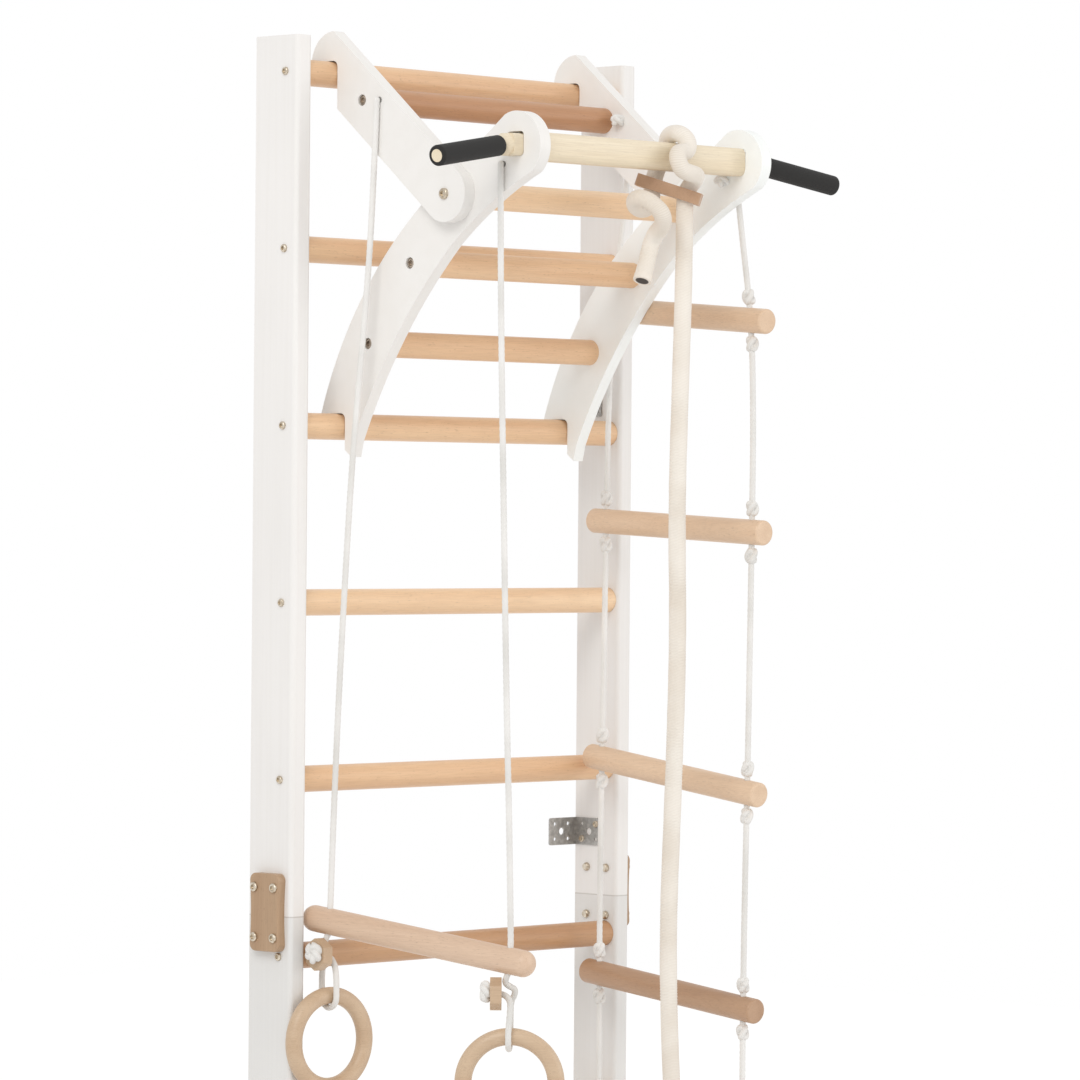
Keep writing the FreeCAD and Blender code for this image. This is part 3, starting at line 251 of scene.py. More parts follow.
def add_rope_uv(mesh, sides, lengths, whole):
    """A UV map that runs along the rope in metres and once round it."""
    layer = mesh.uv_layers.new(name="UVMap")
    first_pole = len(lengths) * sides
    for polygon in mesh.polygons:
        corners = [mesh.loops[index].vertex_index for index in polygon.loop_indices]
        columns = {corner % sides for corner in corners if corner < first_pole}
        wraps = 0 in columns and sides - 1 in columns
        for index, corner in zip(polygon.loop_indices, corners):
            if corner >= first_pole:
                layer.data[index].uv = (0.0 if corner == first_pole else whole, 0.5)
                continue
            around = (corner % sides) / sides
            if wraps and around == 0:
                around = 1.0
            layer.data[index].uv = (lengths[corner // sides], around)


# %% [markdown]
# ## The routes of the ropes
#
# Ropes come first, because their shape decides the silhouette. Each route is a short list of
# points in millimetres, on the CAD tube or close to it. They become the control points of one
# smooth NURBS spline, so the rope bends like rope and not like wire. The climbing rope hangs in
# slow waves, the trapeze's ropes are almost straight under its weight, and the ladder's ropes lean
# forward a little from one rung to the next.

# %% Routes
CLIMBING_ROPE_ROUTE = [
    (74.3, -374.8, 800.8), (74.6, -374.4, 722.0), (69.0, -375.2, 592.0), (64.0, -374.6, 424.0),
    (69.0, -375.0, 262.0), (62.0, -374.6, 62.0), (54.0, -375.1, -88.0), (58.0, -374.7, -218.0),
    (68.0, -375.0, -348.0), (66.0, -374.6, -538.0), (60.0, -375.0, -738.0),
    (63.0, -374.7, -898.0), (62.6, -374.8, -1042.0),
]
HITCH_ROUTE = [
    (74.3, -374.8, 801.0), (74.3, -374.8, 812.1), (75.0, -376.5, 825.0), (77.5, -384.5, 835.5),
    (75.0, -393.0, 841.5), (67.0, -400.0, 844.5), (48.0, -404.0, 846.0), (38.0, -403.5, 849.0),
    (32.5, -402.0, 857.0), (33.5, -398.5, 866.5), (41.0, -395.0, 871.5), (51.0, -391.7, 871.2),
    (59.5, -390.2, 873.5), (64.5, -389.2, 880.0), (64.0, -387.4, 888.0), (61.5, -382.0, 894.3),
    (62.0, -374.0, 896.8), (67.0, -363.0, 897.6), (73.5, -350.0, 897.0), (79.0, -341.0, 893.5),
    (82.5, -336.4, 886.0), (81.0, -336.2, 873.0), (67.5, -336.4, 859.5), (52.5, -339.5, 834.5),
    (48.0, -342.5, 812.0), (41.0, -342.0, 803.5), (29.0, -342.0, 801.0), (14.5, -345.0, 805.0),
    (5.0, -353.0, 812.0), (0.5, -366.0, 814.0), (2.0, -379.0, 810.0), (6.0, -388.5, 802.5),
    (12.0, -393.0, 794.3), (19.0, -389.5, 786.0), (24.8, -381.0, 778.0), (29.7, -368.0, 772.0),
    (31.6, -359.0, 761.8), (27.0, -357.5, 746.5), (14.0, -361.0, 718.0),
]
TRAPEZE_REAR_ROUTE = [
    (-241.7, -145.0, 931.0), (-243.0, -141.5, 817.0), (-246.0, -134.0, 682.0),
    (-248.5, -116.0, 512.0), (-251.5, -106.0, 342.0), (-255.0, -95.0, 112.0),
    (-257.7, -90.9, -68.4),
]
TRAPEZE_FRONT_ROUTE = [
    (-223.7, -341.9, 845.1), (-223.9, -343.0, 740.0), (-223.5, -346.0, 600.0),
    (-223.1, -352.0, 400.0), (-222.8, -358.5, 185.0), (-222.2, -365.5, 10.0),
    (-222.0, -368.1, -101.3),
]
LADDER_REAR_ROUTE = [
    (226.7, -145.0, 931.0), (227.0, -131.0, 812.0), (226.6, -112.0, 687.0),
    (227.0, -106.0, 545.0), (226.7, -103.5, 411.0), (226.9, -102.5, 262.0),
    (226.7, -100.0, 101.0), (226.4, -98.6, -38.0), (226.7, -98.5, -180.0),
    (226.9, -99.2, -328.0), (226.7, -99.0, -479.0), (226.5, -98.2, -618.0),
    (226.7, -98.5, -754.0), (226.9, -98.6, -806.0),
]
LADDER_FRONT_ROUTE = [
    (208.7, -341.9, 845.1), (208.5, -354.0, 765.0), (208.9, -369.5, 668.0),
    (208.6, -374.5, 540.0), (208.8, -373.0, 399.0), (208.5, -371.5, 232.0),
    (208.7, -369.0, 68.0), (208.4, -366.5, -69.0), (208.7, -365.0, -207.0),
    (208.9, -364.8, -348.0), (208.7, -364.0, -508.0), (208.5, -363.4, -646.0),
    (208.7, -364.0, -782.0), (208.9, -364.1, -834.0),
]

# %% [markdown]
# ## The thin white cords
#
# The trapeze and the ladder hang on braided cord about 8 mm thick. A braid is two sets of strands
# that wind round the cord in opposite directions and cross. A texture alone looks painted on, so
# the radius itself rises along both sets of helices, and the crossings stand out where the light
# rakes.

# %% Thin cords
THIN_ROPE = 7.8 * MM
THIN_SPACING = 1.3 * MM
THIN_SIDES = 20
BRAID_STRANDS = 4
BRAID_PITCH = 7.5 * MM
BRAID_FLOOR = 0.955
BRAID_RELIEF = 0.045


def braided(distance, angle):
    """The radius of the braided cord."""
    turn = 2 * math.pi * distance / BRAID_PITCH
    one_way = math.cos(BRAID_STRANDS * angle + turn)
    other_way = math.cos(BRAID_STRANDS * angle - turn)
    return THIN_ROPE / 2 * (BRAID_FLOOR + BRAID_RELIEF * max(one_way, other_way))


def rope_along(name, route, spacing, sides, radius_at, start_ball=True, end_ball=False):
    """A rope along a route, and the line that it follows."""
    line = route_line(in_metres(route), spacing)
    rope = sweep(name, line, sides, radius_at, start_ball=start_ball, end_ball=end_ball)
    print(name, "length", round(line_length(line), 4))
    return rope, line


def thin_cord(name, route, end_ball):
    """A braided cord along a route, with a half ball where it swings."""
    return rope_along(name, route, THIN_SPACING, THIN_SIDES, braided, end_ball=end_ball)


trapeze_rear_cord, trapeze_rear_line = thin_cord("trapeze_rear_cord", TRAPEZE_REAR_ROUTE, True)
trapeze_front_cord, trapeze_front_line = thin_cord("trapeze_front_cord", TRAPEZE_FRONT_ROUTE, True)
ladder_rear_cord, ladder_rear_line = thin_cord("ladder_rear_cord", LADDER_REAR_ROUTE, False)
ladder_front_cord, ladder_front_line = thin_cord("ladder_front_cord", LADDER_FRONT_ROUTE, False)

# %% [markdown]
# ## The thick climbing rope
#
# The climbing rope is 22 mm thick and cream. Close up it shows fine ribs that run almost straight
# round it, clear in some places and worn smooth in others. The sweep gives it a one-start helix of
# shallow grooves, and slow noise along the rope fades them in and out. The hitch round the bar and
# through the stop plate is the same rope, so both use the same radius.

# %% Thick rope
THICK_ROPE = 22.0 * MM
THICK_SPACING = 0.9 * MM
THICK_SIDES = 28
RIB_PITCH = 3.6 * MM
RIB_TOP = 0.992
WORN_DEPTH = 0.010
CLEAR_DEPTH = 0.045
WEAR_PER_METRE = 26.0
WEAR_PLACE = 3.7
WEAR_MIDDLE = 0.35
WEAR_CONTRAST = 1.9
SWELL_PER_METRE = 60.0
SWELL = 0.012


def ribbed(distance, angle):
    """The radius of the thick rope."""
    wear = noise.noise(Vector((distance * WEAR_PER_METRE, 0.0, WEAR_PLACE)))
    depth = WORN_DEPTH + CLEAR_DEPTH * min(1.0, max(0.0, WEAR_MIDDLE + WEAR_CONTRAST * wear))
    rib = 0.5 + 0.5 * math.cos(2 * math.pi * distance / RIB_PITCH + angle)
    around = Vector((distance * SWELL_PER_METRE, math.cos(angle), math.sin(angle)))
    swell = SWELL * noise.noise(around)
    return THICK_ROPE / 2 * (RIB_TOP - depth * (1 - rib) ** 2 + swell)


climbing_cord, climbing_line = rope_along(
    "climbing_cord", CLIMBING_ROPE_ROUTE, THICK_SPACING, THICK_SIDES, ribbed)
hitch_cord, hitch_line = rope_along(
    "hitch_cord", HITCH_ROUTE, THICK_SPACING, THICK_SIDES, ribbed, start_ball=False)

# %% [markdown]
# ## Knots
#
# Every thin cord ends in a knot inside a board, and every ladder rung is held by a knot above and
# below it. A real overhand knot, pulled tight, is a rope wound on itself. A torus knot has that
# look: the line goes twice round while it weaves in and out, three times for a plain knot and five
# for a flat star. One knot of each kind is swept, and Geometry Nodes set a copy on every point,
# turned to the point's direction.

# %% Geometry Nodes that set a piece on points
def setting_tree():
    """A node tree that sets one piece on every vertex, turned to its facing, with a finish."""
    tree = bpy.data.node_groups.new("set_on_points", "GeometryNodeTree")
    for name, kind in (("Geometry", "Geometry"), ("Piece", "Object"),
                       ("Size", "Float"), ("Finish", "Material")):
        tree.interface.new_socket(name, in_out="INPUT", socket_type="NodeSocket" + kind)
    tree.interface.new_socket("Geometry", in_out="OUTPUT", socket_type="NodeSocketGeometry")
    nodes = tree.nodes
    start = nodes.new("NodeGroupInput")
    finish = nodes.new("NodeGroupOutput")
    piece = nodes.new("GeometryNodeObjectInfo")
    facing = nodes.new("GeometryNodeInputNamedAttribute")
    facing.data_type = "FLOAT_VECTOR"
    facing.inputs["Name"].default_value = "facing"
    spin = nodes.new("GeometryNodeInputNamedAttribute")
    spin.data_type = "FLOAT"
    spin.inputs["Name"].default_value = "spin"
    align = nodes.new("FunctionNodeAlignRotationToVector")
    align.axis = "Z"
    turn = nodes.new("FunctionNodeAxisAngleToRotation")
    turn.inputs["Axis"].default_value = (0.0, 0.0, 1.0)
    combine = nodes.new("FunctionNodeRotateRotation")
    combine.rotation_space = "LOCAL"
    copies = nodes.new("GeometryNodeInstanceOnPoints")
    solid = nodes.new("GeometryNodeRealizeInstances")
    paint = nodes.new("GeometryNodeSetMaterial")
    for source, output, target, entry in (
            (start, "Piece", piece, "Object"),
            (facing, "Attribute", align, "Vector"),
            (spin, "Attribute", turn, "Angle"),
            (align, "Rotation", combine, "Rotation"),
            (turn, "Rotation", combine, "Rotate By"),
            (start, "Geometry", copies, "Points"),
            (piece, "Geometry", copies, "Instance"),
            (combine, "Rotation", copies, "Rotation"),
            (start, "Size", copies, "Scale"),
            (copies, "Instances", solid, "Geometry"),
            (solid, "Geometry", paint, "Geometry"),
            (start, "Finish", paint, "Material"),
            (paint, "Geometry", finish, "Geometry")):
        tree.links.new(source.outputs[output], target.inputs[entry])
    return tree


SETTING_TREE = setting_tree()
SOCKET_OF = {item.name: item.identifier for item in SETTING_TREE.interface.items_tree
             if item.in_out == "INPUT"}


def set_on_points(name, piece, places, finish, size=1.0):
    """One mesh with a copy of the piece at each (point, facing, spin)."""
    points, facings, spins = zip(*places)
    mesh = bpy.data.meshes.new(name)
    mesh.from_pydata(list(points), [], [])
    facing_layer = mesh.attributes.new("facing", "FLOAT_VECTOR", "POINT")
    facing_layer.data.foreach_set("vector", [share for facing in facings for share in facing])
    spin_layer = mesh.attributes.new("spin", "FLOAT", "POINT")
    spin_layer.data.foreach_set("value", list(spins))
    holder = linked(name, mesh)
    modifier = holder.modifiers.new("set_on_points", "NODES")
    modifier.node_group = SETTING_TREE
    modifier[SOCKET_OF["Piece"]] = piece
    modifier[SOCKET_OF["Size"]] = size
    modifier[SOCKET_OF["Finish"]] = finish
    bpy.context.view_layer.update()
    depsgraph = bpy.context.evaluated_depsgraph_get()
    result = bpy.data.meshes.new_from_object(holder.evaluated_get(depsgraph))
    result.name = name
    holder.modifiers.clear()
    holder.data = result
    bpy.data.meshes.remove(mesh)
    return holder


# %% [markdown]
# ## Finishes
#
# All finishes are node materials on Object coordinates, which are the frame's own metres here, or
# on the ropes' UV map. An image would stretch and repeat. Noise in real units keeps the grain the
# same size on a long rung and on a small block. Beech has a fine, even grain with short darker
# flecks along it, so the wood is built from four noises: streaks, a slow change of tone, fine
# fibres and thresholded flecks.

# %% Node helpers
WHITE = (1.0, 1.0, 1.0)
BLACK = (0.0, 0.0, 0.0)
UNTURNED = (0.0, 0.0, 0.0)


def new_material(name):
    """A node material, its node tree and its shader."""
    material = bpy.data.materials.new(name)
    material.use_nodes = True
    tree = material.node_tree
    return material, tree, tree.nodes["Principled BSDF"]


def add_node(tree, kind, values=(), **settings):
    """A node with its settings and input values."""
    node = tree.nodes.new(kind)
    for key, value in settings.items():
        setattr(node, key, value)
    for key, value in dict(values).items():
        node.inputs[key].default_value = value
    return node


def join(tree, *pairs):
    """Links, each from an output to an input."""
    for source, entry in pairs:
        tree.links.new(source, entry)


def object_coordinates(tree):
    """The Object coordinates."""
    return tree.nodes.new("ShaderNodeTexCoord").outputs["Object"]


def ramp(tree, source, stops):
    """A colour ramp on a value, from (position, colour) pairs."""
    node = tree.nodes.new("ShaderNodeValToRGB")
    elements = node.color_ramp.elements
    while len(elements) < len(stops):
        elements.new(0.5)
    for element, (position, colour) in zip(elements, stops):
        element.position = position
        element.color = (*colour, 1.0)
    tree.links.new(source, node.inputs["Fac"])
    return node.outputs["Color"]


def stretched_noise(tree, coordinates, scale, detail, turn=UNTURNED):
    """Noise stretched along one direction: scale is its frequency per metre along each axis."""
    frame_turn = add_node(tree, "ShaderNodeMapping", {"Rotation": turn})
    stretch = add_node(tree, "ShaderNodeMapping", {"Scale": scale})
    texture = add_node(tree, "ShaderNodeTexNoise", {"Scale": 1.0, "Detail": detail})
    join(tree, (coordinates, frame_turn.inputs["Vector"]),
         (frame_turn.outputs["Vector"], stretch.inputs["Vector"]),
         (stretch.outputs["Vector"], texture.inputs["Vector"]))
    return texture.outputs["Fac"]


def blended(tree, mode, factor, first, second):
    """Two colours mixed. The factor and the colours may be values or sockets."""
    node = add_node(tree, "ShaderNodeMix", data_type="RGBA", blend_type=mode)
    if isinstance(factor, float):
        node.inputs["Factor"].default_value = factor
    else:
        tree.links.new(factor, node.inputs["Factor"])
    for socket, value in ((node.inputs["A"], first), (node.inputs["B"], second)):
        if isinstance(value, tuple):
            socket.default_value = (*value, 1.0)
        else:
            tree.links.new(value, socket)
    return node.outputs["Result"]


def mixed_values(tree, share, first, second):
    """Two values mixed, with the second one's share."""
    node = add_node(tree, "ShaderNodeMix", {"Factor": share}, data_type="FLOAT")
    join(tree, (first, node.inputs["A"]), (second, node.inputs["B"]))
    return node.outputs["Result"]


def reckoned(tree, operation, *values):
    """The result of a Math node on sockets and numbers."""
    node = add_node(tree, "ShaderNodeMath", operation=operation)
    for entry, value in zip(node.inputs, values):
        if isinstance(value, float):
            entry.default_value = value
        else:
            tree.links.new(value, entry)
    return node.outputs[0]


def faded(tree, source, start, end, share):
    """A share that fades to nothing while a value goes from start to end."""
    node = add_node(tree, "ShaderNodeMapRange",
                    {"From Min": start, "From Max": end, "To Min": share, "To Max": 0.0})
    tree.links.new(source, node.inputs["Value"])
    return node.outputs["Result"]


def rough(tree, shader, source, low, high):
    """Roughness from a value between 0 and 1."""
    span = add_node(tree, "ShaderNodeMapRange", {"To Min": low, "To Max": high})
    join(tree, (source, span.inputs["Value"]),
         (span.outputs["Result"], shader.inputs["Roughness"]))


def relief(tree, shader, source, distance, strength):
    """Bump from a height."""
    bump = add_node(tree, "ShaderNodeBump", {"Distance": distance, "Strength": strength})
    join(tree, (source, bump.inputs["Height"]),
         (bump.outputs["Normal"], shader.inputs["Normal"]))


# %% Wood
# Each noise of the grain: its frequency per metre along x, y and z, and its detail
STREAKS = (2.2, 46.0, 46.0), 4.0
SLOW_TONE = (1.1, 9.0, 9.0), 2.0
FIBRES = (28.0, 900.0, 900.0), 3.0
FLECKS = (130.0, 1100.0, 1100.0), 1.0
TONE_SHARE = 0.45
FIBRE_SHADE = (0.86, 0.84, 0.82)
FIBRE_SHARE = 0.7
FLECK_SHADE = 0.62
WOOD_ROUGHNESS = 0.42
GRAIN_DEPTH = 0.00012


def srgb(red, green, blue):
    """A colour given as it looks on a screen, from 0 to 255, as linear light."""
    return tuple(((share + 0.055) / 1.055) ** 2.4 if share > 0.04045 else share / 12.92
                 for share in (red / 255, green / 255, blue / 255))


def turned(degrees):
    """A turn about the vertical, for grain that doesn't run along x."""
    return 0.0, 0.0, math.radians(degrees)


def wood_finish(name, light, dark, turn=UNTURNED, flecks=0.5):
    """Lacquered beech with its grain along the x axis of the turned coordinates."""
    material, tree, shader = new_material(name)
    coordinates = object_coordinates(tree)
    streaks, tone, fibres, fleck_noise = (
        stretched_noise(tree, coordinates, scale, detail, turn)
        for scale, detail in (STREAKS, SLOW_TONE, FIBRES, FLECKS))
    middle = tuple((one + other) / 2 for one, other in zip(light, dark))
    colour = ramp(tree, mixed_values(tree, TONE_SHARE, streaks, tone),
                  [(0.32, dark), (0.5, middle), (0.68, light)])
    fibre_tone = ramp(tree, fibres, [(0.3, FIBRE_SHADE), (0.62, WHITE)])
    colour = blended(tree, "MULTIPLY", FIBRE_SHARE, colour, fibre_tone)
    fleck_mask = ramp(tree, fleck_noise, [(0.66, BLACK), (0.74, WHITE)])
    colour = blended(tree, "MIX", reckoned(tree, "MULTIPLY", fleck_mask, flecks), colour,
                     tuple(channel * FLECK_SHADE for channel in dark))
    tree.links.new(colour, shader.inputs["Base Color"])
    rough(tree, shader, fibres, WOOD_ROUGHNESS - 0.05, WOOD_ROUGHNESS + 0.08)
    relief(tree, shader, fibres, GRAIN_DEPTH, 0.5)
    shader.inputs["Coat Weight"].default_value = 0.12
    shader.inputs["Coat Roughness"].default_value = 0.3
    return material


rung_wood = wood_finish("beech_rung_finish", srgb(242, 206, 166), srgb(224, 180, 139))
pale_rung_wood = wood_finish("pale_rung_finish", srgb(250, 219, 182), srgb(236, 198, 158))
# Painted shade: rung 6 gets a darker copy of the beech, which stands in for the shade on it
painted_shade_rung_wood = wood_finish("painted_shade_rung_finish", srgb(206, 164, 124), srgb(188, 142, 102))
# Painted shade: the upper crossbar sits under rung 1, and its darker wood stands in for the shade
# there
painted_shade_crossbar_wood = wood_finish("painted_shade_crossbar_finish", srgb(197, 149, 110), srgb(179, 129, 91))
plate_wood = wood_finish("beech_plate_finish", srgb(189, 160, 129), srgb(171, 138, 107),
                         (0.0, math.radians(90), 0.0))
stop_wood = wood_finish("stop_plate_finish", srgb(196, 159, 128), srgb(172, 135, 104),
                        turned(-52))
swing_wood = wood_finish("beech_swing_finish", srgb(225, 197, 172), srgb(209, 177, 150),
                         turned(82.5))
ring_wood = wood_finish("ring_finish", srgb(212, 187, 158), srgb(196, 167, 137), turned(46.5))
ladder_wood = wood_finish("beech_ladder_finish", srgb(234, 206, 177), srgb(215, 183, 152),
                          turned(86))
dark_ladder_wood = wood_finish("dark_ladder_finish", srgb(196, 161, 131), srgb(174, 137, 107),
                               turned(86))
pale_wood = wood_finish("pale_bar_finish", srgb(240, 228, 204), srgb(229, 212, 182), flecks=0.25)
print("wood finishes made")

# %% [markdown]
# ### Paint
#
# The posts and boards are sprayed white. Paint on wood is never a flat white: the grain telegraphs
# through as very faint lengthwise ripples, and the sheen varies from place to place. Where the two
# halves of a post meet, the paint breaks into a hairline. That line is part of the finish, placed
# by height.

# %% Paint
SEAM_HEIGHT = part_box("left_post_upper")[0].z
SEAM_CORE = 0.0004
SEAM_EDGE = 0.0011
SEAM_SHARE = 0.55
SEAM_COLOUR = srgb(176, 170, 162)
POST_GRAIN = (220.0, 220.0, 4.0)
BOARD_GRAIN = (160.0, 40.0, 40.0)
PAINT_SHADE = 0.965
PAINT_GRAIN_SHADE = (0.975, 0.972, 0.966)


def paint_finish(name, tint, grain_scale, seam=False):
    """Satin white paint over wood."""
    material, tree, shader = new_material(name)
    coordinates = object_coordinates(tree)
    grain = stretched_noise(tree, coordinates, grain_scale, 3.0)
    cloud = stretched_noise(tree, coordinates, (5.0, 5.0, 5.0), 2.0)
    peel = stretched_noise(tree, coordinates, (700.0, 700.0, 700.0), 1.0)
    shade = tuple(channel * PAINT_SHADE for channel in tint)
    colour = ramp(tree, cloud, [(0.3, shade), (0.7, tint)])
    grain_tone = ramp(tree, grain, [(0.3, PAINT_GRAIN_SHADE), (0.6, WHITE)])
    colour = blended(tree, "MULTIPLY", 0.8, colour, grain_tone)
    if seam:
        apart = tree.nodes.new("ShaderNodeSeparateXYZ")
        tree.links.new(coordinates, apart.inputs["Vector"])
        gap = reckoned(tree, "ADD", apart.outputs["Z"], -SEAM_HEIGHT)
        line = faded(tree, reckoned(tree, "ABSOLUTE", gap), SEAM_CORE, SEAM_EDGE, SEAM_SHARE)
        colour = blended(tree, "MIX", line, colour, SEAM_COLOUR)
    tree.links.new(colour, shader.inputs["Base Color"])
    rough(tree, shader, cloud, 0.36, 0.5)
    relief(tree, shader, mixed_values(tree, 0.3, grain, peel), GRAIN_DEPTH, 0.35)
    return material


post_paint = paint_finish("post_paint", srgb(240, 238, 236), POST_GRAIN, seam=True)
# Painted shade: the posts' lower halves get a darker copy of the same white paint
painted_shade_lower_post_paint = paint_finish("painted_shade_lower_post_paint", srgb(229, 228, 226), POST_GRAIN, seam=True)
board_paint = paint_finish("board_paint", srgb(242, 240, 237), BOARD_GRAIN)
# Painted light: the right lower arm gets a brighter copy of the board paint, which stands in for
# more light on it
painted_light_inner_board_paint = paint_finish("painted_light_inner_board_paint", srgb(250, 253, 252), BOARD_GRAIN)
print("paint finishes made; the posts' halves meet at z", round(SEAM_HEIGHT, 4))

# %% [markdown]
# ### Metal, foam, rope and tape
#
# The small parts need their own finishes. Zinc-plated steel is a metal with a slightly warm,
# mottled colour, foam rubber is almost black with a fine pitted skin, and rope fibre is matt with
# a soft sheen. The tape on the hitch's tail is cream, and only the rope's cut core is dark.

# %% Other finishes
TAIL_END = Vector(HITCH_ROUTE[-1]) * MM
TAIL_DIRECTION = (Vector(HITCH_ROUTE[-1]) - Vector((28.5, -357.5, 748.5))).normalized()
CORE_RADIUS = 0.0078
CORE_EDGE = 0.0088


def mottled_finish(name, light, dark, scale, roughness, depth, strength):
    """A mottled surface with a lowest and a highest roughness, and its shader."""
    material, tree, shader = new_material(name)
    mottle = stretched_noise(tree, object_coordinates(tree), scale, 3.0)
    colour = ramp(tree, mottle, [(0.35, dark), (0.65, light)])
    tree.links.new(colour, shader.inputs["Base Color"])
    rough(tree, shader, mottle, *roughness)
    relief(tree, shader, mottle, depth, strength)
    return material, shader


def metal_finish(name, light, dark, roughness):
    """Plated steel."""
    material, shader = mottled_finish(name, light, dark, (260.0, 260.0, 260.0),
                                      (roughness - 0.06, roughness + 0.1), 0.00005, 0.3)
    shader.inputs["Metallic"].default_value = 1.0
    return material


def soft_finish(name, light, dark, scale, roughness, sheen, depth):
    """A matt soft surface, mottled at the given scale per metre."""
    material, shader = mottled_finish(name, light, dark, scale,
                                      (roughness - 0.05, roughness + 0.05), depth, 0.6)
    shader.inputs["Sheen Weight"].default_value = sheen
    return material


def rope_finish(name, light, dark, fibre_pitch, lean):
    """Rope fibre on the rope's UV map: fine yarns that lean round it, and slow changes of tone."""
    material, tree, shader = new_material(name)
    place = tree.nodes.new("ShaderNodeTexCoord")
    spread = add_node(tree, "ShaderNodeMapping", {"Scale": (1.0 / fibre_pitch, lean, 1.0)})
    wave = add_node(tree, "ShaderNodeTexWave", {"Scale": 1.0, "Distortion": 1.6, "Detail": 2.0},
                    wave_type="BANDS", bands_direction="DIAGONAL")
    join(tree, (place.outputs["UV"], spread.inputs["Vector"]),
         (spread.outputs["Vector"], wave.inputs["Vector"]))
    yarns = wave.outputs["Fac"]
    fuzz = stretched_noise(tree, place.outputs["Object"], (1500.0, 1500.0, 500.0), 2.0)
    tone = stretched_noise(tree, place.outputs["Object"], (14.0, 14.0, 14.0), 2.0)
    colour = ramp(tree, tone, [(0.32, dark), (0.62, light)])
    yarn_tone = ramp(tree, yarns, [(0.1, (0.9, 0.885, 0.86)), (0.6, WHITE)])
    colour = blended(tree, "MULTIPLY", 0.75, colour, yarn_tone)
    tree.links.new(colour, shader.inputs["Base Color"])
    rough(tree, shader, fuzz, 0.82, 0.95)
    shader.inputs["Sheen Weight"].default_value = 0.15
    relief(tree, shader, mixed_values(tree, 0.5, yarns, fuzz), 0.0003, 0.6)
    return material


def tail_end_finish():
    """Cream tape round the hitch's tail, with the dark cut core close to the tail's axis."""
    material, tree, shader = new_material("tail_end_finish")
    offset = add_node(tree, "ShaderNodeVectorMath", {1: TAIL_END}, operation="SUBTRACT")
    across = add_node(tree, "ShaderNodeVectorMath", {1: TAIL_DIRECTION},
                      operation="CROSS_PRODUCT")
    radius = add_node(tree, "ShaderNodeVectorMath", operation="LENGTH")
    join(tree, (object_coordinates(tree), offset.inputs[0]),
         (offset.outputs["Vector"], across.inputs[0]),
         (across.outputs["Vector"], radius.inputs[0]))
    cover = faded(tree, radius.outputs["Value"], CORE_RADIUS, CORE_EDGE, 1.0)
    colour = blended(tree, "MIX", cover, srgb(236, 228, 217), srgb(70, 64, 60))
    tree.links.new(colour, shader.inputs["Base Color"])
    shader.inputs["Roughness"].default_value = 0.8
    return material


tail_end = tail_end_finish()
bright_metal = metal_finish("bright_screw_finish", srgb(214, 204, 188), srgb(178, 164, 144), 0.32)
# Painted shade: the crossbar screws sit in counterbores, and their darker metal stands in for the
# shade in the recess
painted_shade_screw_metal = metal_finish("painted_shade_screw_finish", srgb(190, 178, 164), srgb(146, 134, 122), 0.42)
bracket_metal = metal_finish("bracket_finish", srgb(188, 185, 181), srgb(162, 159, 155), 0.5)
foam = soft_finish("foam_grip_finish", srgb(34, 33, 32), srgb(24, 23, 22),
                   (900.0, 900.0, 900.0), 0.85, sheen=0.03, depth=0.0003)
tape = soft_finish("tape_finish", srgb(76, 70, 66), srgb(52, 48, 46),
                   (60.0, 60.0, 700.0), 0.6, sheen=0.0, depth=0.0002)
thin_fibre = rope_finish("thin_rope_finish", srgb(241, 240, 238), srgb(226, 225, 222),
                         fibre_pitch=0.0016, lean=4.0)
thick_fibre = rope_finish("thick_rope_finish", srgb(242, 236, 227), srgb(230, 221, 209),
                          fibre_pitch=0.0030, lean=3.0)
print("metal, foam, rope and tape finishes made")

# %% Finishes on the ropes
for cord in (trapeze_rear_cord, trapeze_front_cord, ladder_rear_cord, ladder_front_cord):
    cord.data.materials.append(thin_fibre)
for cord in (climbing_cord, hitch_cord):
    cord.data.materials.append(thick_fibre)

# %% [markdown]
# ## The knots in place
#
# A knot above and below each ladder rung takes its place and direction from the rope's own route.
# The four knots in the boards face into the frame, because the rope is threaded from below and
# tied inside.

# %% Knot shapes
KNOT_SIDES = 10


def torus_knot(name, lobes, wide, weave, high, rope, samples):
    """A closed rope that goes twice round and weaves in and out."""
    line = []
    for step in range(samples):
        turn = 2 * math.pi * step / samples
        reach = wide + weave * math.cos(lobes * turn)
        line.append(Vector((reach * math.cos(2 * turn), reach * math.sin(2 * turn),
                            high * math.sin(lobes * turn))))
    knot = sweep(name, line, KNOT_SIDES, lambda distance, angle: rope, closed=True)
    bpy.context.scene.collection.objects.unlink(knot)
    return knot


plain_knot = torus_knot("plain_knot", lobes=3, wide=3.4 * MM, weave=1.9 * MM, high=6.6 * MM,
                        rope=3.6 * MM, samples=72)
star_knot = torus_knot("star_knot", lobes=5, wide=5.4 * MM, weave=2.6 * MM, high=2.4 * MM,
                       rope=3.3 * MM, samples=100)

# %% Ladder knots
KNOT_LIFT = 30.0 * MM
LADDER_KNOT_SPIN = 0.7


def ladder_knot_places(route):
    """A place above and below each rung, on the rope, facing along it."""
    places = []
    points = in_metres(route)
    for crossing in range(2, len(points) - 1, 2):
        for neighbour in (crossing - 1, crossing + 1):
            along = (points[neighbour] - points[crossing]).normalized()
            places.append((points[crossing] + along * KNOT_LIFT, along,
                           LADDER_KNOT_SPIN * len(places)))
    return places


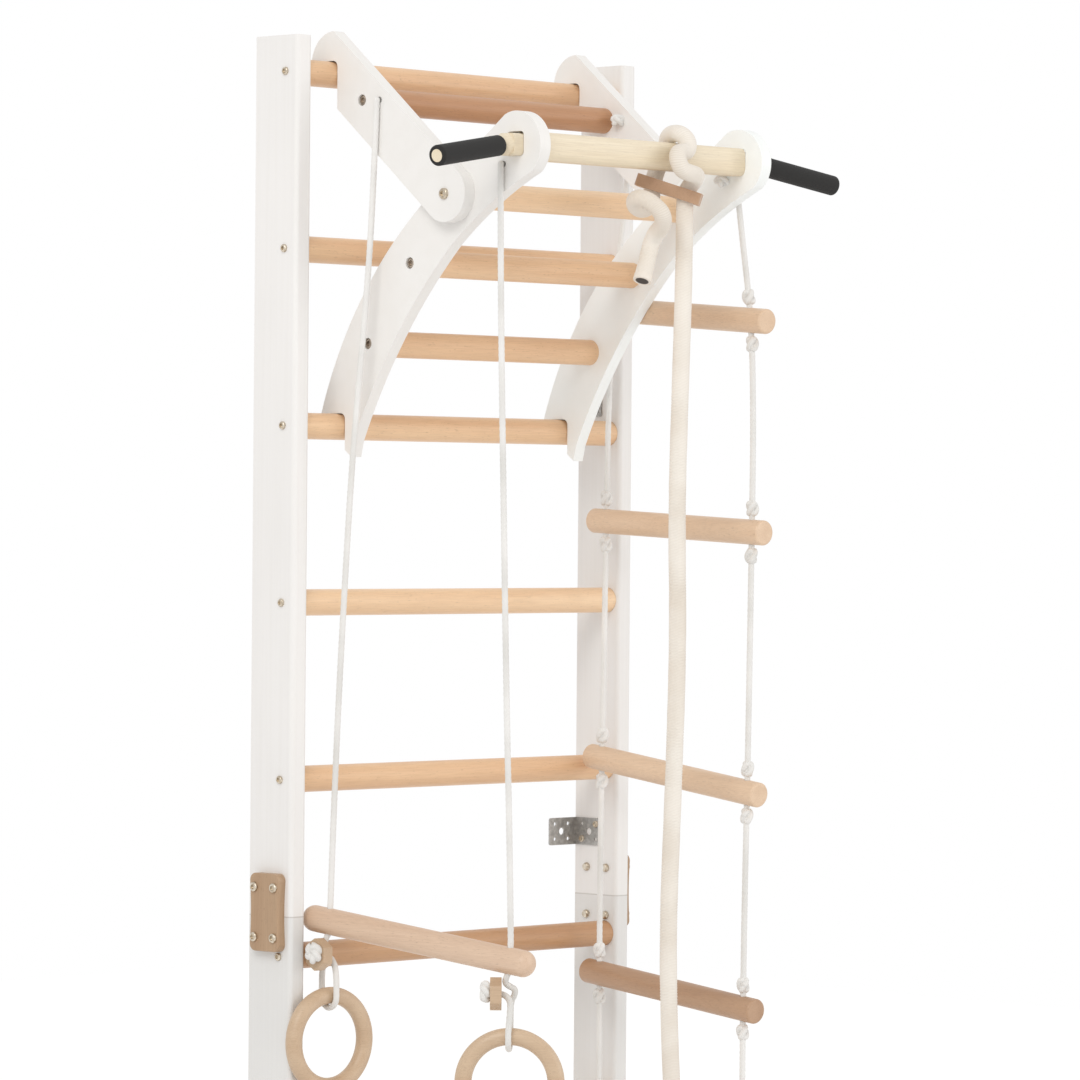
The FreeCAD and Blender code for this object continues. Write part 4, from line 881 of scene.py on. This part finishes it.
ladder_rear_ties = set_on_points("ladder_rear_ties", plain_knot,
                                 ladder_knot_places(LADDER_REAR_ROUTE), thin_fibre)
ladder_front_ties = set_on_points("ladder_front_ties", plain_knot,
                                  ladder_knot_places(LADDER_FRONT_ROUTE), thin_fibre)
print("knots on each ladder rope", len(ladder_knot_places(LADDER_REAR_ROUTE)))

# %% Knots in the boards
# The outer face's distance from the frame's middle, and the y and z of the hole in it
BOARD_HOLES = ((0.230, -0.145, 0.931), (0.212, -0.3419, 0.8451))
FRAME_MIDDLE = -0.0075
BOARD_THICKNESS = 0.018
KNOT_INSET = 6.5 * MM
BOARD_KNOT_SPIN = 0.9
BOARD_KNOT_SIZE = 0.95


def board_ties(name, node, side):
    """The two knots on the inside of one side's boards."""
    low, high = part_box(node)
    places = []
    for outer, y, z in BOARD_HOLES:
        inner = FRAME_MIDDLE + side * (outer - BOARD_THICKNESS)
        places.append((Vector((inner - side * KNOT_INSET, y, z)), Vector((-side, 0.0, 0.0)),
                       BOARD_KNOT_SPIN * len(places)))
    ties = set_on_points(name, plain_knot, places, thin_fibre, BOARD_KNOT_SIZE)
    print(name, "inside", *(tuple(round(value, 3) for value in corner) for corner in (low, high)))
    return ties


trapeze_ties = board_ties("trapeze_ties", "trapeze_arm_knots", -1)
ladder_board_ties = board_ties("ladder_board_ties", "ladder_arm_knots", 1)

# %% [markdown]
# ### The rings' loops
#
# Each end of the trapeze's rope goes through the bar, round a ring, up again and through a wooden
# slider, where a flat knot stops it. The CAD model shows that as a closed hoop. Here it is one
# piece of cord that is drawn below a hole at the origin and then turned and moved below its own
# hole.

# %% Ring loops
LOOP_ROUTE = [
    (0.0, 0.0, 21.0), (0.0, 0.0, 8.0), (-1.0, 0.0, -11.0), (-5.0, 1.0, -20.0),
    (-6.5, 4.0, -27.0), (-1.0, 7.0, -31.5), (5.5, 8.5, -34.5), (6.0, 11.0, -41.0),
    (1.0, 13.5, -50.0), (0.5, 16.0, -66.0), (0.5, 16.0, -84.0), (0.0, 15.4, -101.0),
    (-1.0, 0.0, -109.0), (-2.0, -15.4, -101.0), (-2.0, -16.0, -84.0), (0.0, -12.5, -62.0),
    (0.5, -6.5, -49.0), (-5.0, -2.0, -41.5), (-14.0, 0.0, -40.0), (-25.0, 0.0, -40.0),
]
LOOP_SPACING = 1.0 * MM
LOOP_KNOT_PLACE = (-30.0, -4.5, -37.5)
LOOP_KNOT_SPIN = 0.4
LOOP_KNOT_SIZE = 1.25


def ring_loop_ties(name, hole, turn):
    """The loop of one ring with the knot on its slider."""
    spin = Matrix.Rotation(math.radians(turn), 4, "Z")
    place = Matrix.Translation(Vector(hole) * MM) @ spin
    line = [place @ point for point in route_line(in_metres(LOOP_ROUTE), LOOP_SPACING)]
    loop = sweep(name, line, THIN_SIDES, braided, start_ball=True)
    loop.data.materials.append(thin_fibre)
    facing = spin @ Vector((-1.0, 0.0, 0.0))
    knot_place = place @ (Vector(LOOP_KNOT_PLACE) * MM)
    knot = set_on_points(name + "_knot", star_knot, [(knot_place, facing, LOOP_KNOT_SPIN)],
                         thin_fibre, LOOP_KNOT_SIZE)
    return loop, knot


LOOP_PIECES = [*ring_loop_ties("rear_ring_loop", (-257.7, -90.7, -89.5), -5.0),
               *ring_loop_ties("front_ring_loop", (-222.0, -367.9, -123.0), -46.5)]
print("ring loops and knots", len(LOOP_PIECES))

# %% [markdown]
# ## The stage and the light
#
# The picture is a cut-out on white. The white must not come from strong lamps, which would bleach
# the paint and the ropes, so the world is white only where the camera, a reflection or a
# transmission looks at it, and the floor glows only for the camera and reflections. The light on
# the object is a soft dome and two large lamps, one from the upper left and one low fill.

# %% Stage and light
FLOOR_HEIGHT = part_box("left_post_lower")[0].z
FLOOR_HALF = 9.0
FLOOR_GLOW = 0.34
DOME_STRENGTH = 0.74


def camera_or_gloss(tree):
    """The light path, and a value that is 1 on rays of the camera and of reflections."""
    rays = tree.nodes.new("ShaderNodeLightPath")
    return rays, reckoned(tree, "MAXIMUM", rays.outputs["Is Camera Ray"],
                          rays.outputs["Is Glossy Ray"])


def soft_lamp(name, place, aim, size, power, tint):
    """A large square lamp that points at a place."""
    data = bpy.data.lights.new(name, "AREA")
    data.size = size
    data.energy = power
    data.color = tint
    lamp = linked(name, data)
    lamp.location = place
    lamp.rotation_euler = (Vector(aim) - Vector(place)).to_track_quat("-Z", "Y").to_euler()


floor_mesh = bpy.data.meshes.new("floor")
floor_mesh.from_pydata([(x * FLOOR_HALF, y * FLOOR_HALF, FLOOR_HEIGHT)
                        for x, y in ((-1, -1), (1, -1), (1, 1), (-1, 1))], [], [(0, 1, 2, 3)])
floor = linked("floor", floor_mesh)
floor_material, floor_tree, floor_shader = new_material("floor_finish")
floor_shader.inputs["Base Color"].default_value = (0.93, 0.93, 0.93, 1.0)
floor_shader.inputs["Roughness"].default_value = 0.9
floor_shader.inputs["Specular IOR Level"].default_value = 0.0
floor_shader.inputs["Emission Color"].default_value = (*WHITE, 1.0)
floor_seen = camera_or_gloss(floor_tree)[1]
floor_tree.links.new(reckoned(floor_tree, "MULTIPLY", floor_seen, FLOOR_GLOW),
                     floor_shader.inputs["Emission Strength"])
floor_mesh.materials.append(floor_material)

world = bpy.data.worlds.new("studio")
world.use_nodes = True
bpy.context.scene.world = world
sky = world.node_tree
sky.nodes.clear()
rays, seen = camera_or_gloss(sky)
seen = reckoned(sky, "MAXIMUM", seen, rays.outputs["Is Transmission Ray"])
dome = add_node(sky, "ShaderNodeBackground",
                {"Color": (1.0, 0.99, 0.98, 1.0), "Strength": DOME_STRENGTH})
white = add_node(sky, "ShaderNodeBackground", {"Color": (*WHITE, 1.0), "Strength": 1.0})
either = sky.nodes.new("ShaderNodeMixShader")
sky_output = sky.nodes.new("ShaderNodeOutputWorld")
join(sky, (seen, either.inputs["Fac"]),
     (dome.outputs["Background"], either.inputs[1]),
     (white.outputs["Background"], either.inputs[2]),
     (either.outputs["Shader"], sky_output.inputs["Surface"]))

soft_lamp("key_lamp", place=(-4.2, -2.2, 3.4), aim=(0.0, 0.0, 0.2), size=2.6, power=93.0,
          tint=(1.0, 0.99, 0.97))
soft_lamp("fill_lamp", place=(2.8, -4.6, 1.4), aim=(0.0, 0.0, 0.0), size=3.0, power=50.0,
          tint=(1.0, 0.98, 0.96))
bpy.context.scene.view_settings.view_transform = "Standard"
print("floor at z", round(FLOOR_HEIGHT, 4))

# %% [markdown]
# ## Softened copies of the boards and posts
#
# A planed board has its edges taken off, and that thin bright line along every edge is what makes
# a render look like a real board. Most edges of the CAD solids are sharp. A CAD node's mesh is
# never changed, so a copy is merged into a clean mesh, its flat faces are joined again, and a
# Bevel modifier rounds the edges.

# %% Softened copies
MERGE_DISTANCE = 0.00001
FLAT_WITHIN = math.radians(0.4)
SMOOTH_UNDER_DEGREES = 32.0
BEVEL_OVER = math.radians(50.0)
BEVEL_SEGMENTS = 3
# The width of the rounded edge, the body and the slot
POST = 1.0 * MM, "wall_bars", "painted_post"
BOARD = 1.6 * MM, "pull_up_frame", "painted_board"


def softened_copy(name, node, width, finish):
    """A copy of a CAD node with rounded edges."""
    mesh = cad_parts[node].data.copy()
    mesh.name = name
    mesh.materials.clear()
    work = bmesh.new()
    work.from_mesh(mesh)
    bmesh.ops.remove_doubles(work, verts=work.verts, dist=MERGE_DISTANCE)
    bmesh.ops.dissolve_limit(work, angle_limit=FLAT_WITHIN, verts=work.verts, edges=work.edges)
    work.to_mesh(mesh)
    work.free()
    if "custom_normal" in mesh.attributes:
        mesh.attributes.remove(mesh.attributes["custom_normal"])
    smooth_by_angle(mesh, SMOOTH_UNDER_DEGREES)
    copy = linked(name, mesh)
    bevel = copy.modifiers.new("edge", "BEVEL")
    bevel.width = width
    bevel.segments = BEVEL_SEGMENTS
    bevel.limit_method = "ANGLE"
    bevel.angle_limit = BEVEL_OVER
    bevel.use_clamp_overlap = True
    weighted = copy.modifiers.new("flat", "WEIGHTED_NORMAL")
    weighted.keep_sharp = True
    mesh.materials.append(finish)
    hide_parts(node)
    return copy


for node, finish, (width, body, slot) in (
        ("left_post_upper", post_paint, POST), ("left_post_lower", painted_shade_lower_post_paint, POST),
        ("right_post_upper", post_paint, POST), ("right_post_lower", painted_shade_lower_post_paint, POST),
        ("left_upper_arm", board_paint, BOARD), ("right_upper_arm", board_paint, BOARD),
        ("left_lower_arm", board_paint, BOARD), ("right_lower_arm", painted_light_inner_board_paint, BOARD)):
    copy = softened_copy(node + "_soft", node, width, finish)
    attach(copy, body)
print("posts and boards softened")

# %% Finishes on the CAD nodes that are kept
FINISHED_NODES = (
    (bright_metal, "rung_screws joint_plate_bolts joint_plate_nuts arm_bolts bracket_screws"),
    # Painted shade on the recessed crossbar screws
    (painted_shade_screw_metal, "crossbar_screws"),
    (bracket_metal, "wall_brackets_top wall_brackets_middle wall_brackets_bottom"),
    (plate_wood, "left_joint_plate right_joint_plate"),
    (rung_wood, "middle_crossbar lower_crossbar rung_1 rung_2 rung_3 rung_5"),
    (rung_wood, "rung_7 rung_8 rung_9 rung_10"),
    (pale_rung_wood, "joint_crossbar rung_4"),
    # Painted shade: the darker beech on rung 6
    (painted_shade_rung_wood, "rung_6"),
    # Painted shade: the darker wood on the upper crossbar
    (painted_shade_crossbar_wood, "upper_crossbar"),
    (pale_wood, "pull_up_bar"),
    (foam, "left_grip right_grip"),
    (stop_wood, "stop_plate"),
    (tape, "climbing_rope_end"),
    (tail_end, "rope_tail_tape"),
    (swing_wood, "trapeze_bar"),
    (ring_wood, "ring_sliders rear_ring front_ring"),
    (ladder_wood, "ladder_rung_1 ladder_rung_2 ladder_rung_3 ladder_rung_5 ladder_rung_6"),
    (dark_ladder_wood, "ladder_rung_4"),
)
finish_of = {node: finish for finish, nodes in FINISHED_NODES for node in nodes.split()}
for node, finish in finish_of.items():
    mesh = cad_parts[node].data
    mesh.materials.clear()
    mesh.materials.append(finish)
print("CAD nodes with a finish", len(finish_of))

# %% [markdown]
# ## Riding with the bodies
#
# Every piece moves with the CAD body that it belongs to, and the CAD nodes that it stands for
# are hidden.

# %% Bodies and cords
for piece, body, slot, nodes in (
        (climbing_cord, "climbing_rope", "thick_rope", ["climbing_rope"]),
        (hitch_cord, "pull_up_frame", "thick_rope", ["rope_hitch"]),
        (trapeze_rear_cord, "trapeze_rear_rope", "thin_rope", ["trapeze_rear_rope"]),
        (trapeze_front_cord, "trapeze_front_rope", "thin_rope", ["trapeze_front_rope"]),
        (ladder_rear_cord, "rope_ladder", "thin_rope", ["ladder_rear_rope"]),
        (ladder_front_cord, "rope_ladder", "thin_rope", ["ladder_front_rope"]),
        (ladder_rear_ties, "rope_ladder", "thin_rope", ["ladder_knots"]),
        (ladder_front_ties, "rope_ladder", "thin_rope", ["ladder_knots"]),
        (trapeze_ties, "pull_up_frame", "thin_rope", ["trapeze_arm_knots"]),
        (ladder_board_ties, "pull_up_frame", "thin_rope", ["ladder_arm_knots"]),
        *((piece, "trapeze", "thin_rope", ["ring_loops"]) for piece in LOOP_PIECES)):
    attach(piece, body)
    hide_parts(*nodes)
